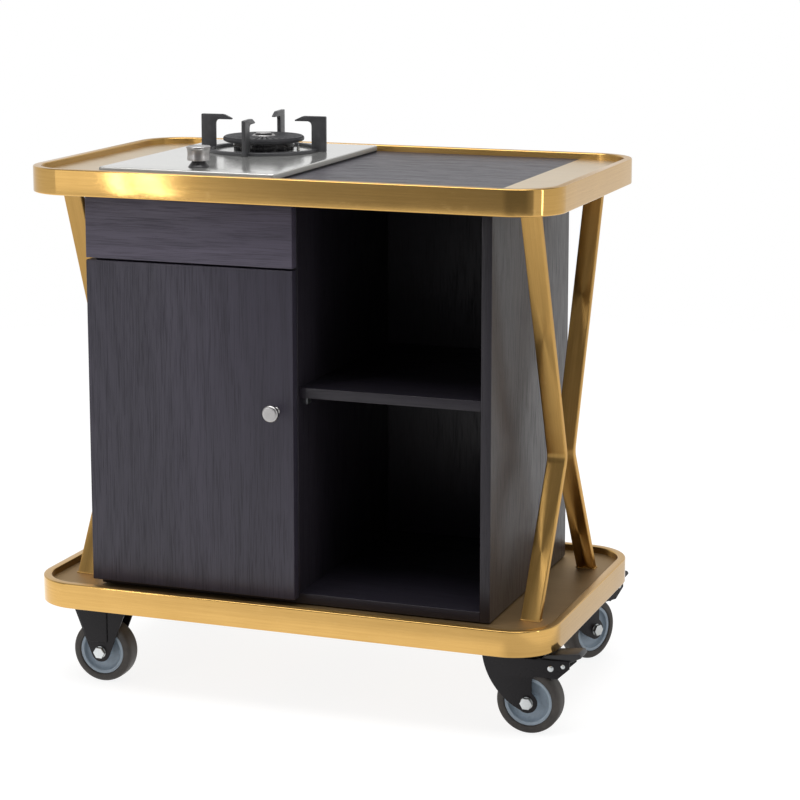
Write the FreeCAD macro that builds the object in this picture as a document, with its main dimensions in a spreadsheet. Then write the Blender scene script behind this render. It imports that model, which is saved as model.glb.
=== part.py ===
import FreeCAD, Part
import math
import os
import re
import Sketcher
from FreeCAD import Placement, Rotation, Vector

# Food serving cart with a built-in gas burner. X runs right along the front, Y to the back, Z up.
# The origin is on the floor under the middle of the two tray rims.
# Driving sizes, in millimetres and degrees.
SIZES = {
    # Frame
    "cart_length": 850,
    "cart_depth": 504,
    "rim_top": 825,
    "caster_height": 136,
    "band_height": 40,
    "band_thickness": 13,
    "corner_radius": 74,
    "edge_ease": 1.2,
    "floor_drop": 10,
    "floor_sheet": 2,
    "floor_lip": 30,
    "rail_width": 96,
    "rail_setback": 19,
    "rail_sheet": 3,
    "strap_width": 30,
    "strap_thickness": 12,
    "strap_bend": 20,
    "strap_inset": 55,
    "strap_top_inset": 56,
    "strap_foot_inset": 87.5,
    "strap_knee_y": 20.2,
    "strap_knee_z": 386,
    # Cabinet
    "end_space": 105,
    "side_space": 39,
    "side_board": 16,
    "glide_height": 2,
    "glide_size": 24,
    "glide_inset": 40,
    "bottom_board_thickness": 16,
    "back_board": 9,
    "bay_left": 15,
    "shelf_top": 504,
    "shelf_thickness": 16,
    "shelf_setback": 2,
    "bracket_sheet": 2,
    "bracket_reach": 12,
    "bracket_drop": 16,
    "bracket_width": 14,
    "bracket_inset": 40,
    "middle_rail_reveal": 6,
    "middle_rail_thickness": 16,
    "middle_rail_depth": 60,
    "top_board_overhang": 5,
    "top_board_thickness": 18,
    # Drawer and door fronts
    "front_board": 18,
    "front_gap": 2,
    "front_overhang": 6,
    "front_ease": 1,
    "door_clearance": 2,
    "fronts_gap": 3,
    "drawer_top_gap": 16,
    "drawer_front_height": 94,
    "drawer_box_gap": 4,
    "drawer_box_height": 44,
    "drawer_side": 12,
    "drawer_back_space": 60,
    "drawer_base": 5,
    "runner_space": 13,
    "runner_sheet": 1.2,
    "runner_height": 27,
    "runner_width": 10,
    "runner_past_box": 10,
    "runner_clearance": 0.5,
    "runner_setback": 4,
    "knob_inset": 28,
    "knob_drop": 214,
    "knob_radius": 13,
    "knob_stem": 4.5,
    "knob_foot": 7,
    "knob_foot_height": 2,
    "knob_neck": 4,
    "knob_flare": 9.5,
    "knob_shoulder": 18.5,
    "knob_face": 22.5,
    "knob_round": 1,
    "knob_length": 25,
    "hinge_height": 60,
    "hinge_inset": 90,
    "hinge_leaf": 0.9,
    "hinge_leaf_width": 14,
    "knuckle_radius": 3,
    "knuckle_offset": 3.2,
    "knuckle_gap": 0.2,
    "hinge_pin_radius": 1.5,
    "running_clearance": 0.05,
    "catch_width": 14,
    "catch_length": 36,
    "catch_height": 24,
    "catch_gap": 0.2,
    "catch_drop": 60,
    "strike_sheet": 1.2,
    # Hob
    "hob_side_gap": 12,
    "hob_middle_gap": 16,
    "hob_front_gap": 31,
    "hob_back_gap": 11,
    "hob_height": 8,
    "hob_sheet": 1.5,
    "hob_corner": 6,
    "hob_edge": 2,
    "seal_height": 3,
    "seal_width": 8,
    "seal_inset": 0.5,
    "cutout_clearance": 2,
    "bore_clearance": 0.1,
    "chassis_inset": 21,
    "chassis_front_inset": 22,
    "chassis_back_inset": 42,
    "chassis_depth": 76.5,
    "chassis_wall": 1.2,
    "chassis_corner": 12,
    # Burner
    "burner_inset": 136,
    "cup_radius": 49.5,
    "cup_height": 15,
    "cup_wall": 5.5,
    "cup_depth": 20,
    "throat_radius": 30,
    "throat_depth": 46,
    "tube_radius": 13,
    "tube_wall": 1.2,
    "cap_radius": 65.5,
    "cap_thickness": 9,
    "cap_taper": 3,
    "cap_spigot": 3,
    "cap_fit": 1,
    "slot_count": 36,
    "slot_width": 1.8,
    "slot_depth": 1.2,
    "slot_inner": 20,
    "slot_outer": 60,
    "crown_radius": 13.5,
    "crown_height": 5,
    "crown_edge": 1,
    "crown_bevel": 2,
    "crown_ring": 17,
    "crown_ring_height": 1.5,
    "crown_ring_slope": 0.5,
    "support_ring_inset": 13,
    "support_ring_width": 10,
    "support_ring_height": 5,
    "support_reach": 105,
    "support_height": 57,
    "arm_count": 4,
    "arm_width": 24,
    "arm_sheet": 6,
    "arm_bar": 8.5,
    "arm_flat": 38,
    "arm_length": 52,
    "arm_tip": 1,
    "arm_fillet": 4,
    "support_angle": 5.5,
    "electrode_circle": 56,
    "electrode_angle": 15,
    "electrode_radius": 2.5,
    "electrode_wire": 0.8,
    "electrode_height": 6,
    "electrode_wire_height": 13,
    "electrode_depth": 20,
    # Gas controls
    "control_inset": 50,
    "bezel_radius": 16,
    "bezel_neck": 10.5,
    "bezel_height": 10,
    "bezel_edge": 1.2,
    "bezel_lip": 2,
    "bezel_bore": 6,
    "dial_radius": 18.5,
    "dial_waist": 1.5,
    "dial_height": 23.5,
    "dial_gap": 0.5,
    "dial_recess": 5,
    "dial_recess_radius": 12.5,
    "spindle_radius": 4,
    "spindle_in_dial": 16,
    "spindle_depth": 32,
    "cone_radius": 7,
    "cone_depth": 40,
    "cone_length": 20,
    "cone_floor": 4,
    "cone_gap": 0.2,
    "valve_radius": 13,
    "valve_floor": 8,
    "jet_depth": 31,
    "jet_radius": 6,
    "jet_length": 34,
    "jet_gap": 24,
    "pipe_radius": 4,
    "elbow_size": 12,
    "pipe_side_inset": 42,
    "pipe_back_inset": 68,
    "pipe_drop": 20,
    # Casters
    "rigid_inset": 95,
    "swivel_inset": 81,
    "caster_inset": 80,
    "wheel_clearance": 18,
    "tyre_thickness": 13,
    "tyre_width": 32,
    "tyre_tread": 18,
    "tyre_bead": 2,
    "tyre_shoulder": 6,
    "hub_rim": 5,
    "hub_rim_width": 28,
    "hub_barrel": 12,
    "hub_web": 10,
    "fork_gap": 36,
    "fork_sheet": 2.5,
    "axle_radius": 5,
    "axle_across": 17,
    "axle_head": 6.5,
    "axle_nut": 8,
    "axle_end": 3,
    "plate_length": 94,
    "plate_width": 68,
    "plate_sheet": 3.5,
    "plate_corner": 6,
    "boss_radius": 16,
    "rigid_top_half": 50,
    "rigid_rib_half": 13,
    "rigid_rib": 2.5,
    "rigid_rib_foot": 21,
    "rigid_rib_top": 46,
    "trail": 33,
    "rear_swivel_angle": 63.6,
    "crown_front": 38,
    "crown_back": 50,
    "race_height": 12,
    "race_cup": 3.5,
    "race_radius": 30,
    "race_gap": 0.3,
    "kingpin_radius": 6,
    "kingpin_head_radius": 10,
    "kingpin_head": 4,
    "cheek_lead_radius": 104,
    "cheek_trail_edge": 7,
    "cheek_arm_height": 28.5,
    "cheek_arm_drop": 11.5,
    "cheek_arm_end": 98,
    "cheek_arm_low": 80,
    "cheek_fillet": 8,
    "pedal_pin_drop": 13.5,
    "pedal_pin_setback": 2,
    "pedal_pin_radius": 3,
    "pedal_clearance": 1,
    "pedal_front": 54,
    "pedal_tip_u": 116,
    "pedal_rise": 12.9,
    "pedal_lip": 12.4,
    "pedal_shoe_gap": 3.74,
    "pedal_shoe_half": 5,
    "pedal_shoe_rise": 3,
}

# Places and sizes that follow from the driving sizes, written in their names
DERIVED = {
    "half_length": "cart_length / 2",
    "half_depth": "cart_depth / 2",
    "inner_length": "half_length - band_thickness",
    "inner_depth": "half_depth - band_thickness",
    "inner_radius": "corner_radius - band_thickness",
    "lower_rim_top": "caster_height + band_height",
    "lower_floor": "lower_rim_top - floor_drop",
    "lower_floor_under": "lower_floor - floor_sheet",
    "upper_rim_bottom": "rim_top - band_height",
    "upper_floor": "rim_top - floor_drop",
    "upper_floor_under": "upper_floor - floor_sheet",
    "rail_length": "2 * (inner_depth - rail_setback)",
    "half_strap": "strap_thickness / 2",
    "strap_x": "half_length - strap_inset",
    "strap_top_y": "inner_depth - strap_top_inset",
    "strap_foot_y": "inner_depth - strap_foot_inset",
    "strap_top_lean": "atan((strap_top_y - strap_knee_y) / (upper_floor_under - strap_knee_z))",
    "strap_foot_lean": "atan((strap_foot_y - strap_knee_y) / (strap_knee_z - lower_floor))",
    "strap_mitre": "half_strap / (1 + cos(strap_top_lean + strap_foot_lean))",
    "strap_mitre_y": "strap_mitre * (cos(strap_top_lean) + cos(strap_foot_lean))",
    "strap_mitre_z": "strap_mitre * (sin(strap_foot_lean) - sin(strap_top_lean))",
    "side_outer": "half_length - end_space",
    "side_inner": "side_outer - side_board",
    "carcass_back": "inner_depth - side_space",
    "fronts_back": "-carcass_back",
    "carcass_front": "fronts_back + front_gap",
    "fronts_face": "fronts_back - front_board",
    "fronts_left": "-(side_outer + front_overhang)",
    "carcass_bottom": "lower_floor + glide_height",
    "bottom_top": "carcass_bottom + bottom_board_thickness",
    "back_front": "carcass_back - back_board",
    "divider_left": "bay_left - side_board",
    "board_under": "upper_floor - top_board_thickness",
    "board_half": "side_outer + top_board_overhang",
    "shelf_under": "shelf_top - shelf_thickness",
    "door_bottom": "lower_rim_top + door_clearance",
    "drawer_front_top": "board_under - drawer_top_gap",
    "drawer_front_bottom": "drawer_front_top - drawer_front_height",
    "door_top": "drawer_front_bottom - fronts_gap",
    "middle_rail_top": "drawer_front_bottom + middle_rail_reveal",
    "middle_rail_bottom": "middle_rail_top - middle_rail_thickness",
    "drawer_box_bottom": "middle_rail_top + drawer_box_gap",
    "drawer_box_top": "drawer_box_bottom + drawer_box_height",
    "drawer_left": "-side_inner + runner_space",
    "drawer_right": "divider_left - runner_space",
    "drawer_back_y": "carcass_back - drawer_back_space",
    "runner_middle": "drawer_box_bottom + drawer_box_height / 2",
    "runner_back": "drawer_back_y + runner_past_box",
    "hinge_x": "-(side_outer + knuckle_offset)",
    "hinge_y": "fronts_back + knuckle_offset",
    "hinge_leaf_edge": "-side_outer + knuckle_gap",
    "knob_x": "bay_left - knob_inset",
    "knob_z": "door_top - knob_drop",
    "catch_top": "door_top - catch_drop",
    "hob_width": "side_outer - hob_side_gap - hob_middle_gap",
    "hob_x": "-(hob_middle_gap + hob_width / 2)",
    "hob_front": "-(inner_depth - hob_front_gap)",
    "hob_back": "inner_depth - hob_back_gap",
    "burner_y": "hob_back - burner_inset",
    "control_y": "hob_front + control_inset",
    "panel_bottom": "upper_floor + seal_height",
    "panel_top": "panel_bottom + hob_height",
    "panel_under": "panel_top - hob_sheet",
    "chassis_left": "hob_x - hob_width / 2 + chassis_inset",
    "chassis_right": "hob_x + hob_width / 2 - chassis_inset",
    "chassis_front": "hob_front + chassis_front_inset",
    "chassis_back": "hob_back - chassis_back_inset",
    "chassis_bottom": "panel_under - chassis_depth",
    "cup_top": "panel_top + cup_height",
    "cup_inner": "cup_radius - cup_wall",
    "cup_floor": "cup_top - cup_depth",
    "throat_bottom": "panel_top - throat_depth",
    "jet_z": "panel_top - jet_depth",
    "jet_tip": "control_y + jet_length",
    "tube_length": "burner_y - jet_tip - jet_gap",
    "cone_bottom": "panel_top - cone_depth",
    "cone_top": "cone_bottom + cone_length",
    "valve_bottom": "cone_bottom - valve_floor",
    "pipe_x": "chassis_left + pipe_side_inset",
    "pipe_y": "hob_back - pipe_back_inset",
    "pipe_bottom": "chassis_bottom - pipe_drop",
    "support_ring": "support_reach - support_ring_inset",
    "bezel_top": "panel_top + bezel_height",
    "dial_bottom": "bezel_top + dial_gap",
    "spindle_bottom": "panel_top - spindle_depth",
    "spindle_top": "dial_bottom + spindle_in_dial",
    "rigid_x": "half_length - rigid_inset",
    "swivel_x": "half_length - swivel_inset",
    "caster_y": "half_depth - caster_inset",
    "plate_bottom": "caster_height - plate_sheet",
    "crown_top": "plate_bottom - race_height",
    "crown_bottom": "crown_top - fork_sheet",
    "wheel_radius": "(crown_bottom - wheel_clearance) / 2",
    "hub_radius": "wheel_radius - tyre_thickness",
    "hub_half": "fork_gap / 2 - race_gap",
    "cheek_outer": "fork_gap / 2 + fork_sheet",
    "cheek_arm_bottom": "crown_top - cheek_arm_height",
    "cheek_arm_corner": "crown_top - cheek_arm_drop",
    "pedal_top": "crown_top + pedal_rise",
    "pedal_shoe_reach": "(wheel_radius + pedal_shoe_gap) * cos(45 deg)",
    "pedal_shoe_u": "trail + pedal_shoe_reach",
    "pedal_shoe_z": "wheel_radius + pedal_shoe_reach",
    "pedal_pin_u": "pedal_shoe_u - pedal_pin_setback",
    "pedal_pin_z": "crown_top - pedal_pin_drop",
}

KNUCKLES = 3

doc = FreeCAD.newDocument("serving_cart")
sheet = doc.addObject("Spreadsheet::Sheet", "sizes")
for row, (size_name, number) in enumerate(SIZES.items(), start=1):
    sheet.set(f"A{row}", size_name)
    sheet.set(f"B{row}", str(number))
    sheet.setAlias(f"B{row}", size_name)
doc.recompute()

nodes = {}


def formula(text):
    """The text with derived names written out and each driving size as its cell of the sheet."""

    def written_out(found):
        name = found[0]
        if name in DERIVED:
            return f"({formula(DERIVED[name])})"
        return f"sizes.{name}" if name in SIZES else name

    return re.sub(r"[a-z_][a-z_0-9]*", written_out, text)


def size(text):
    """The number that a formula gives now."""
    return float(sheet.evalExpression(formula(text)))


def bind(thing, prop, text):
    thing.setExpression(prop, formula(text))


def node(name, thing):
    """Keep a finished object as the sub-part of that name."""
    thing.Label = name
    nodes[name] = thing


# Part primitives


def box(name, x_span, y_span, z_span):
    """A box between two places on each axis."""
    thing = doc.addObject("Part::Box", name)
    for prop, axis, (low, high) in zip(("Length", "Width", "Height"), "xyz", (x_span, y_span, z_span)):
        bind(thing, prop, f"({high}) - ({low})")
        bind(thing, f"Placement.Base.{axis}", low)
    return thing


def rod(name, radius, length, place, axis="Z"):
    """A cylinder from a place, along an axis."""
    thing = doc.addObject("Part::Cylinder", name)
    turns = {"Z": Rotation(), "X": Rotation(Vector(0, 1, 0), 90), "Y": Rotation(Vector(1, 0, 0), -90)}
    thing.Placement = Placement(Vector(0, 0, 0), turns[axis])
    bind(thing, "Radius", radius)
    bind(thing, "Height", length)
    for letter, text in zip("xyz", place):
        bind(thing, f"Placement.Base.{letter}", text)
    return thing


def cut(name, base, tool):
    thing = doc.addObject("Part::Cut", name)
    thing.Base = base
    thing.Tool = tool
    return thing


def fuse(name, things):
    thing = doc.addObject("Part::MultiFuse", name)
    thing.Shapes = things
    return thing


def group(name, things):
    thing = doc.addObject("Part::Compound", name)
    thing.Links = things
    return thing


# Bodies and sketches


def new_body(name, place=("0", "0", "0"), turn_axis=None, turn="0"):
    body = doc.addObject("PartDesign::Body", name)
    if turn_axis:
        body.Placement = Placement(Vector(0, 0, 0), Rotation(turn_axis, size(turn)))
        bind(body, "Placement.Rotation.Angle", turn)
    for letter, text in zip("xyz", place):
        bind(body, f"Placement.Base.{letter}", text)
    return body


def origin_feature(body, role):
    return [feature for feature in body.Origin.OriginFeatures if feature.Role == role][0]


def new_sketch(body, plane, offset="0"):
    """A sketch on an origin plane of its body; XZ faces the front, so its offset runs towards -Y."""
    sketch = body.newObject("Sketcher::SketchObject", f"{body.Name}_outline")
    sketch.AttachmentSupport = [(origin_feature(body, f"{plane}_Plane"), "")]
    sketch.MapMode = "FlatFace"
    bind(sketch, "AttachmentOffset.Base.z", offset)
    return sketch


def pin_point(sketch, line, end, texts):
    """Fix a point of the sketch by two formulas, measured from the sketch's origin."""
    for kind, axis, text in (("DistanceX", -2, texts[0]), ("DistanceY", -1, texts[1])):
        number = size(text)
        if abs(number) < 1e-9:
            sketch.addConstraint(Sketcher.Constraint("PointOnObject", line, end, axis))
        else:
            index = sketch.addConstraint(Sketcher.Constraint(kind, -1, 1, line, end, number))
            bind(sketch, f"Constraints[{index}]", text)


def outline(sketch, corners):
    """Close a loop through the corners, each (x, y) or (x, y, radius, side).

    A radius makes the side that leaves the corner an arc under a half circle, with its centre
    on the left of the way for side 1 and on the right for side -1.
    """
    spots = [Vector(size(corner[0]), size(corner[1]), 0) for corner in corners]
    sides = []
    for index, corner in enumerate(corners):
        start, end = spots[index], spots[(index + 1) % len(spots)]
        if len(corner) == 2:
            sides.append({"line": sketch.addGeometry(Part.LineSegment(start, end)), "start": 1, "end": 2})
            continue
        radius, side = size(corner[2]), corner[3]
        chord = end - start
        left = Vector(-chord.y, chord.x, 0).normalize()
        centre = (start + end) * 0.5 + left * side * math.sqrt(radius**2 - chord.Length**2 / 4)
        arc = sketch.addGeometry(Part.Arc(start, centre - left * side * radius, end))
        sides.append({"line": arc, "start": 1 if side > 0 else 2, "end": 2 if side > 0 else 1})
    for index, corner in enumerate(corners):
        now, last = sides[index], sides[index - 1]
        joined = Sketcher.Constraint("Coincident", last["line"], last["end"], now["line"], now["start"])
        sketch.addConstraint(joined)
        pin_point(sketch, now["line"], now["start"], corner)
        if len(corner) == 4:
            radius_index = sketch.addConstraint(Sketcher.Constraint("Radius", now["line"], size(corner[2])))
            bind(sketch, f"Constraints[{radius_index}]", corner[2])


def circle(sketch, radius, x="0", y="0"):
    line = sketch.addGeometry(Part.Circle(Vector(size(x), size(y), 0), Vector(0, 0, 1), size(radius)))
    pin_point(sketch, line, 3, (x, y))
    index = sketch.addConstraint(Sketcher.Constraint("Radius", line, size(radius)))
    bind(sketch, f"Constraints[{index}]", radius)


def rectangle(sketch, x_span, y_span, radius=None):
    """A rectangle between two places on each axis, with round corners where a radius is given."""
    (left, right), (low, high) = x_span, y_span
    if radius is None:
        outline(sketch, [(left, low), (right, low), (right, high), (left, high)])
        return
    corners = [
        (f"({left}) + ({radius})", low),
        (f"({right}) - ({radius})", low, radius, 1),
        (right, f"({low}) + ({radius})"),
        (right, f"({high}) - ({radius})", radius, 1),
        (f"({right}) - ({radius})", high),
        (f"({left}) + ({radius})", high, radius, 1),
        (left, f"({high}) - ({radius})"),
        (left, f"({low}) + ({radius})", radius, 1),
    ]
    outline(sketch, corners)


def centred(half_x, half_y):
    """The two spans of a rectangle about the origin."""
    return (f"-({half_x})", half_x), (f"-({half_y})", half_y)


def hexagon(sketch, across, x="0", y="0"):
    corners = []
    for turn in range(6):
        angle = f"{30 + 60 * turn} deg"
        reach = f"({across}) / 2 / cos(30 deg)"
        corners.append((f"({x}) + {reach} * cos({angle})", f"({y}) + {reach} * sin({angle})"))
    outline(sketch, corners)


def pad(body, sketch, length, both_ways=False, backwards=False):
    feature = body.newObject("PartDesign::Pad", f"{body.Name}_pad")
    feature.Profile = sketch
    bind(feature, "Length", length)
    feature.SideType = "Symmetric" if both_ways else "One side"
    feature.Reversed = backwards
    return feature


def pocket(body, sketch, length, both_ways=False, upwards=False):
    """Cut a sketch into its body; it goes against the sketch's normal unless it cuts upwards."""
    feature = body.newObject("PartDesign::Pocket", f"{body.Name}_pocket")
    feature.Profile = sketch
    bind(feature, "Length", length)
    feature.SideType = "Symmetric" if both_ways else "One side"
    feature.Reversed = upwards
    doc.recompute()
    return feature


def revolve(body, corners, plane="XZ"):
    """Turn an outline about the sketch's upright axis."""
    sketch = new_sketch(body, plane)
    outline(sketch, corners)
    feature = body.newObject("PartDesign::Revolution", f"{body.Name}_turned")
    feature.Profile = sketch
    feature.ReferenceAxis = (sketch, ["V_Axis"])
    feature.Angle = 360
    return feature


def ring_of(body, feature, count):
    """Repeat a feature round the body's upright axis."""
    pattern = body.newObject("PartDesign::PolarPattern", f"{body.Name}_ring")
    pattern.Originals = [feature]
    pattern.Axis = (origin_feature(body, "Z_Axis"), [""])
    pattern.Angle = 360
    bind(pattern, "Occurrences", count)
    body.Tip = pattern


def dress_edges(body, feature, kind, amount, wanted):
    """Fillet or chamfer the edges of a feature whose middle the test accepts."""
    doc.recompute()
    names = []
    for number, edge in enumerate(feature.Shape.Edges, start=1):
        if wanted(edge.valueAt((edge.FirstParameter + edge.LastParameter) / 2)):
            names.append(f"Edge{number}")
    dressing = body.newObject(f"PartDesign::{kind}", f"{body.Name}_{kind.lower()}")
    dressing.Base = (feature, names)
    bind(dressing, "Radius" if kind == "Fillet" else "Size", amount)
    return dressing


def near(one, other):
    return abs(one - other) < 1e-4


# Frame


def rim(name, bottom):
    """One tray rim: a band bent round the four corners."""
    body = new_body(name)
    sketch = new_sketch(body, "XY", bottom)
    rectangle(sketch, *centred("half_length", "half_depth"), "corner_radius")
    rectangle(sketch, *centred("inner_length", "inner_depth"), "inner_radius")
    band = pad(body, sketch, "band_height")
    low, high = size(bottom), size(f"({bottom}) + band_height")
    dress_edges(body, band, "Chamfer", "edge_ease", lambda spot: near(spot.z, low) or near(spot.z, high))
    node(name, body)


def lower_tray_floor():
    body = new_body("lower_tray_floor")
    sketch = new_sketch(body, "XY", "lower_floor_under")
    rectangle(sketch, *centred("inner_length", "inner_depth"), "inner_radius")
    pad(body, sketch, "floor_sheet")
    node("lower_tray_floor", body)


def base_rails():
    """Three folded channels across the base, open upwards; the shorter outer two carry the casters."""
    rails = []
    for place, middle, length in (("left", "-rigid_x", "rail_length"), ("middle", "0", "2 * inner_depth"),
                                  ("right", "swivel_x", "rail_length")):
        body = new_body(f"base_rail_{place}", (middle, "0", "0"))
        sketch = new_sketch(body, "XZ")
        half, wall = "rail_width / 2", "rail_width / 2 - rail_sheet"
        web_top = "caster_height + rail_sheet"
        corners = [
            (f"-({half})", "caster_height"), (half, "caster_height"), (half, "lower_floor_under"),
            (wall, "lower_floor_under"), (wall, web_top), (f"-({wall})", web_top),
            (f"-({wall})", "lower_floor_under"), (f"-({half})", "lower_floor_under"),
        ]
        outline(sketch, corners)
        pad(body, sketch, length, both_ways=True)
        rails.append(body)
    node("base_rails", group("base_rails", rails))


def upper_floors():
    """The two end floors of the upper tray, each folded down beside the top board."""
    for place, side in (("left", -1), ("right", 1)):
        body = new_body(f"upper_floor_{place}")
        sketch = new_sketch(body, "XY", "upper_floor_under")
        corners = [
            (f"{side} * board_half", "-inner_depth"),
            (f"{side} * (inner_length - inner_radius)", "-inner_depth", "inner_radius", side),
            (f"{side} * inner_length", "inner_radius - inner_depth"),
            (f"{side} * inner_length", "inner_depth - inner_radius", "inner_radius", side),
            (f"{side} * (inner_length - inner_radius)", "inner_depth"),
            (f"{side} * board_half", "inner_depth"),
        ]
        outline(sketch, corners)
        pad(body, sketch, "floor_sheet")
        lip = new_sketch(body, "XY", "upper_floor_under")
        fold = (f"{side} * board_half", f"{side} * (board_half + floor_sheet)")
        rectangle(lip, fold, ("-inner_depth", "inner_depth"))
        pad(body, lip, "floor_lip - floor_sheet", backwards=True)
        node(f"upper_floor_{place}", body)


def strap(name, x_side, y_side):
    """A flat bar bent at its knee, from the lower tray floor to the upper one."""
    body = new_body(name)
    sketch = new_sketch(body, "YZ", f"{x_side} * strap_x")
    outer = (f"{y_side} * (strap_knee_y + strap_mitre_y)", "strap_knee_z + strap_mitre_z")
    inner = (f"{y_side} * (strap_knee_y - strap_mitre_y)", "strap_knee_z - strap_mitre_z")
    corners = [
        (f"{y_side} * (strap_top_y + half_strap / cos(strap_top_lean))", "upper_floor_under"),
        outer,
        (f"{y_side} * (strap_foot_y + half_strap / cos(strap_foot_lean))", "lower_floor"),
        (f"{y_side} * (strap_foot_y - half_strap / cos(strap_foot_lean))", "lower_floor"),
        inner,
        (f"{y_side} * (strap_top_y - half_strap / cos(strap_top_lean))", "upper_floor_under"),
    ]
    outline(sketch, corners)
    bar = pad(body, sketch, "strap_width", both_ways=True)

    def at(corner):
        y, z = size(corner[0]), size(corner[1])
        return lambda middle: near(middle.y, y) and near(middle.z, z)

    bend = dress_edges(body, bar, "Fillet", "strap_bend", at(outer))
    dress_edges(body, bend, "Fillet", "strap_bend + strap_thickness", at(inner))
    node(name, body)


def frame():
    rim("lower_rim", "caster_height")
    lower_tray_floor()
    base_rails()
    rim("upper_rim", "upper_rim_bottom")
    upper_floors()
    for x_name, x_side in (("left", -1), ("right", 1)):
        for y_name, y_side in (("front", -1), ("rear", 1)):
            strap(f"strap_{y_name}_{x_name}", x_side, y_side)


# Cabinet


def shelf_brackets():
    """Four L-shaped supports under the shelf, on the divider and on the right side."""
    brackets = []
    under = ("shelf_under - bracket_sheet", "shelf_under")
    for row, y in (("front", "carcass_front + bracket_inset"), ("rear", "back_front - bracket_inset")):
        deep = (f"{y} - bracket_width / 2", f"{y} + bracket_width / 2")
        tall = ("shelf_under - bracket_drop", "shelf_under")
        brackets.append(fuse(f"bracket_{row}_left", [
            box(f"bracket_ledge_{row}_left", ("bay_left", "bay_left + bracket_reach"), deep, under),
            box(f"bracket_wall_{row}_left", ("bay_left", "bay_left + bracket_sheet"), deep, tall),
        ]))
        brackets.append(fuse(f"bracket_{row}_right", [
            box(f"bracket_ledge_{row}_right", ("side_inner - bracket_reach", "side_inner"), deep, under),
            box(f"bracket_wall_{row}_right", ("side_inner - bracket_sheet", "side_inner"), deep, tall),
        ]))
    node("shelf_brackets", group("shelf_brackets", brackets))


def carcass():
    """Sides, divider, bottom, back, shelf and the rail between drawer and door, on flat glides."""
    across = ("-side_inner", "side_inner")
    deep = ("carcass_front", "carcass_back")
    inside = ("carcass_front", "back_front")
    tall = ("carcass_bottom", "board_under")
    above_bottom = ("bottom_top", "board_under")
    boards = {
        "side_panel_left": (("-side_outer", "-side_inner"), deep, tall),
        "side_panel_right": (("side_inner", "side_outer"), deep, tall),
        "divider_panel": (("divider_left", "bay_left"), inside, above_bottom),
        "bottom_board": (across, deep, ("carcass_bottom", "bottom_top")),
        "back_panel": (across, ("back_front", "carcass_back"), above_bottom),
        "shelf_board": (("bay_left", "side_inner"), ("carcass_front + shelf_setback", "back_front"),
                        ("shelf_under", "shelf_top")),
        "middle_rail": (("-side_inner", "divider_left"),
                        ("carcass_front", "carcass_front + middle_rail_depth"),
                        ("middle_rail_bottom", "middle_rail_top")),
    }
    for name, spans in boards.items():
        node(name, box(name, *spans))
    shelf_brackets()
    feet = []
    half = "glide_size / 2"
    for column, x in enumerate(("-(side_outer - glide_inset)", "0", "side_outer - glide_inset")):
        for row, y in enumerate(("carcass_front + glide_inset", "carcass_back - glide_inset")):
            feet.append(box(f"glide_{column}_{row}", (f"{x} - {half}", f"{x} + {half}"),
                            (f"{y} - {half}", f"{y} + {half}"), ("lower_floor", "carcass_bottom")))
    node("cabinet_glides", group("cabinet_glides", feet))


def top_board():
    """The black board between the two end floors, cut out for the hob."""
    body = new_body("top_board")
    sketch = new_sketch(body, "XY", "board_under")
    rectangle(sketch, *centred("board_half", "inner_depth"))
    hole_x = ("chassis_left - cutout_clearance", "chassis_right + cutout_clearance")
    hole_y = ("chassis_front - cutout_clearance", "chassis_back + cutout_clearance")
    rectangle(sketch, hole_x, hole_y, "chassis_corner + cutout_clearance")
    pad(body, sketch, "top_board_thickness")
    node("top_board", body)


# Drawer and door


def front_panel(name, x_span, z_span):
    """An overlay front whose outer edges are eased."""
    body = new_body(name)
    sketch = new_sketch(body, "XZ", "-(fronts_back)")
    rectangle(sketch, x_span, z_span)
    board = pad(body, sketch, "front_board")
    face = size("fronts_face")
    dress_edges(body, board, "Chamfer", "front_ease", lambda middle: near(middle.y, face))
    node(name, body)


def runner(name, side, wall, height, y_span):
    """A C-shaped channel along Y: its web lies on a wall and its flanges point to that side."""
    low, high = f"runner_middle - ({height}) / 2", f"runner_middle + ({height}) / 2"

    def from_wall(depth):
        return (wall, f"{wall} + {depth}") if side > 0 else (f"{wall} - {depth}", wall)

    pieces = [
        box(f"{name}_web", from_wall("runner_sheet"), y_span, (low, high)),
        box(f"{name}_low", from_wall("runner_width"), y_span, (low, f"{low} + runner_sheet")),
        box(f"{name}_high", from_wall("runner_width"), y_span, (f"{high} - runner_sheet", high)),
    ]
    return fuse(name, pieces)


def runners():
    """On each side of the drawer box one channel runs inside another."""
    inner = "runner_height - 2 * runner_sheet - 2 * runner_clearance"
    fixed_y = ("carcass_front + runner_setback", "runner_back")
    moving_y = ("fronts_back + runner_setback", "drawer_back_y")
    node("runners_fixed", group("runners_fixed", [
        runner("runner_fixed_left", 1, "-side_inner", "runner_height", fixed_y),
        runner("runner_fixed_right", -1, "divider_left", "runner_height", fixed_y),
    ]))
    node("runners_moving", group("runners_moving", [
        runner("runner_moving_left", -1, "drawer_left", inner, moving_y),
        runner("runner_moving_right", 1, "drawer_right", inner, moving_y),
    ]))


def drawer():
    front_panel("drawer_front", ("fronts_left", "bay_left"), ("drawer_front_bottom", "drawer_front_top"))
    tall = ("drawer_box_bottom", "drawer_box_top")
    deep = ("fronts_back", "drawer_back_y")
    left = box("drawer_side_left", ("drawer_left", "drawer_left + drawer_side"), deep, tall)
    right = box("drawer_side_right", ("drawer_right - drawer_side", "drawer_right"), deep, tall)
    between = ("drawer_left + drawer_side", "drawer_right - drawer_side")
    back = box("drawer_back", between, ("drawer_back_y - drawer_side", "drawer_back_y"), tall)
    node("drawer_box", group("drawer_box", [left, right, back]))
    base_z = ("drawer_box_bottom", "drawer_box_bottom + drawer_base")
    base_y = ("fronts_back", "drawer_back_y - drawer_side")
    node("drawer_bottom", box("drawer_bottom", between, base_y, base_z))
    runners()


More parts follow.
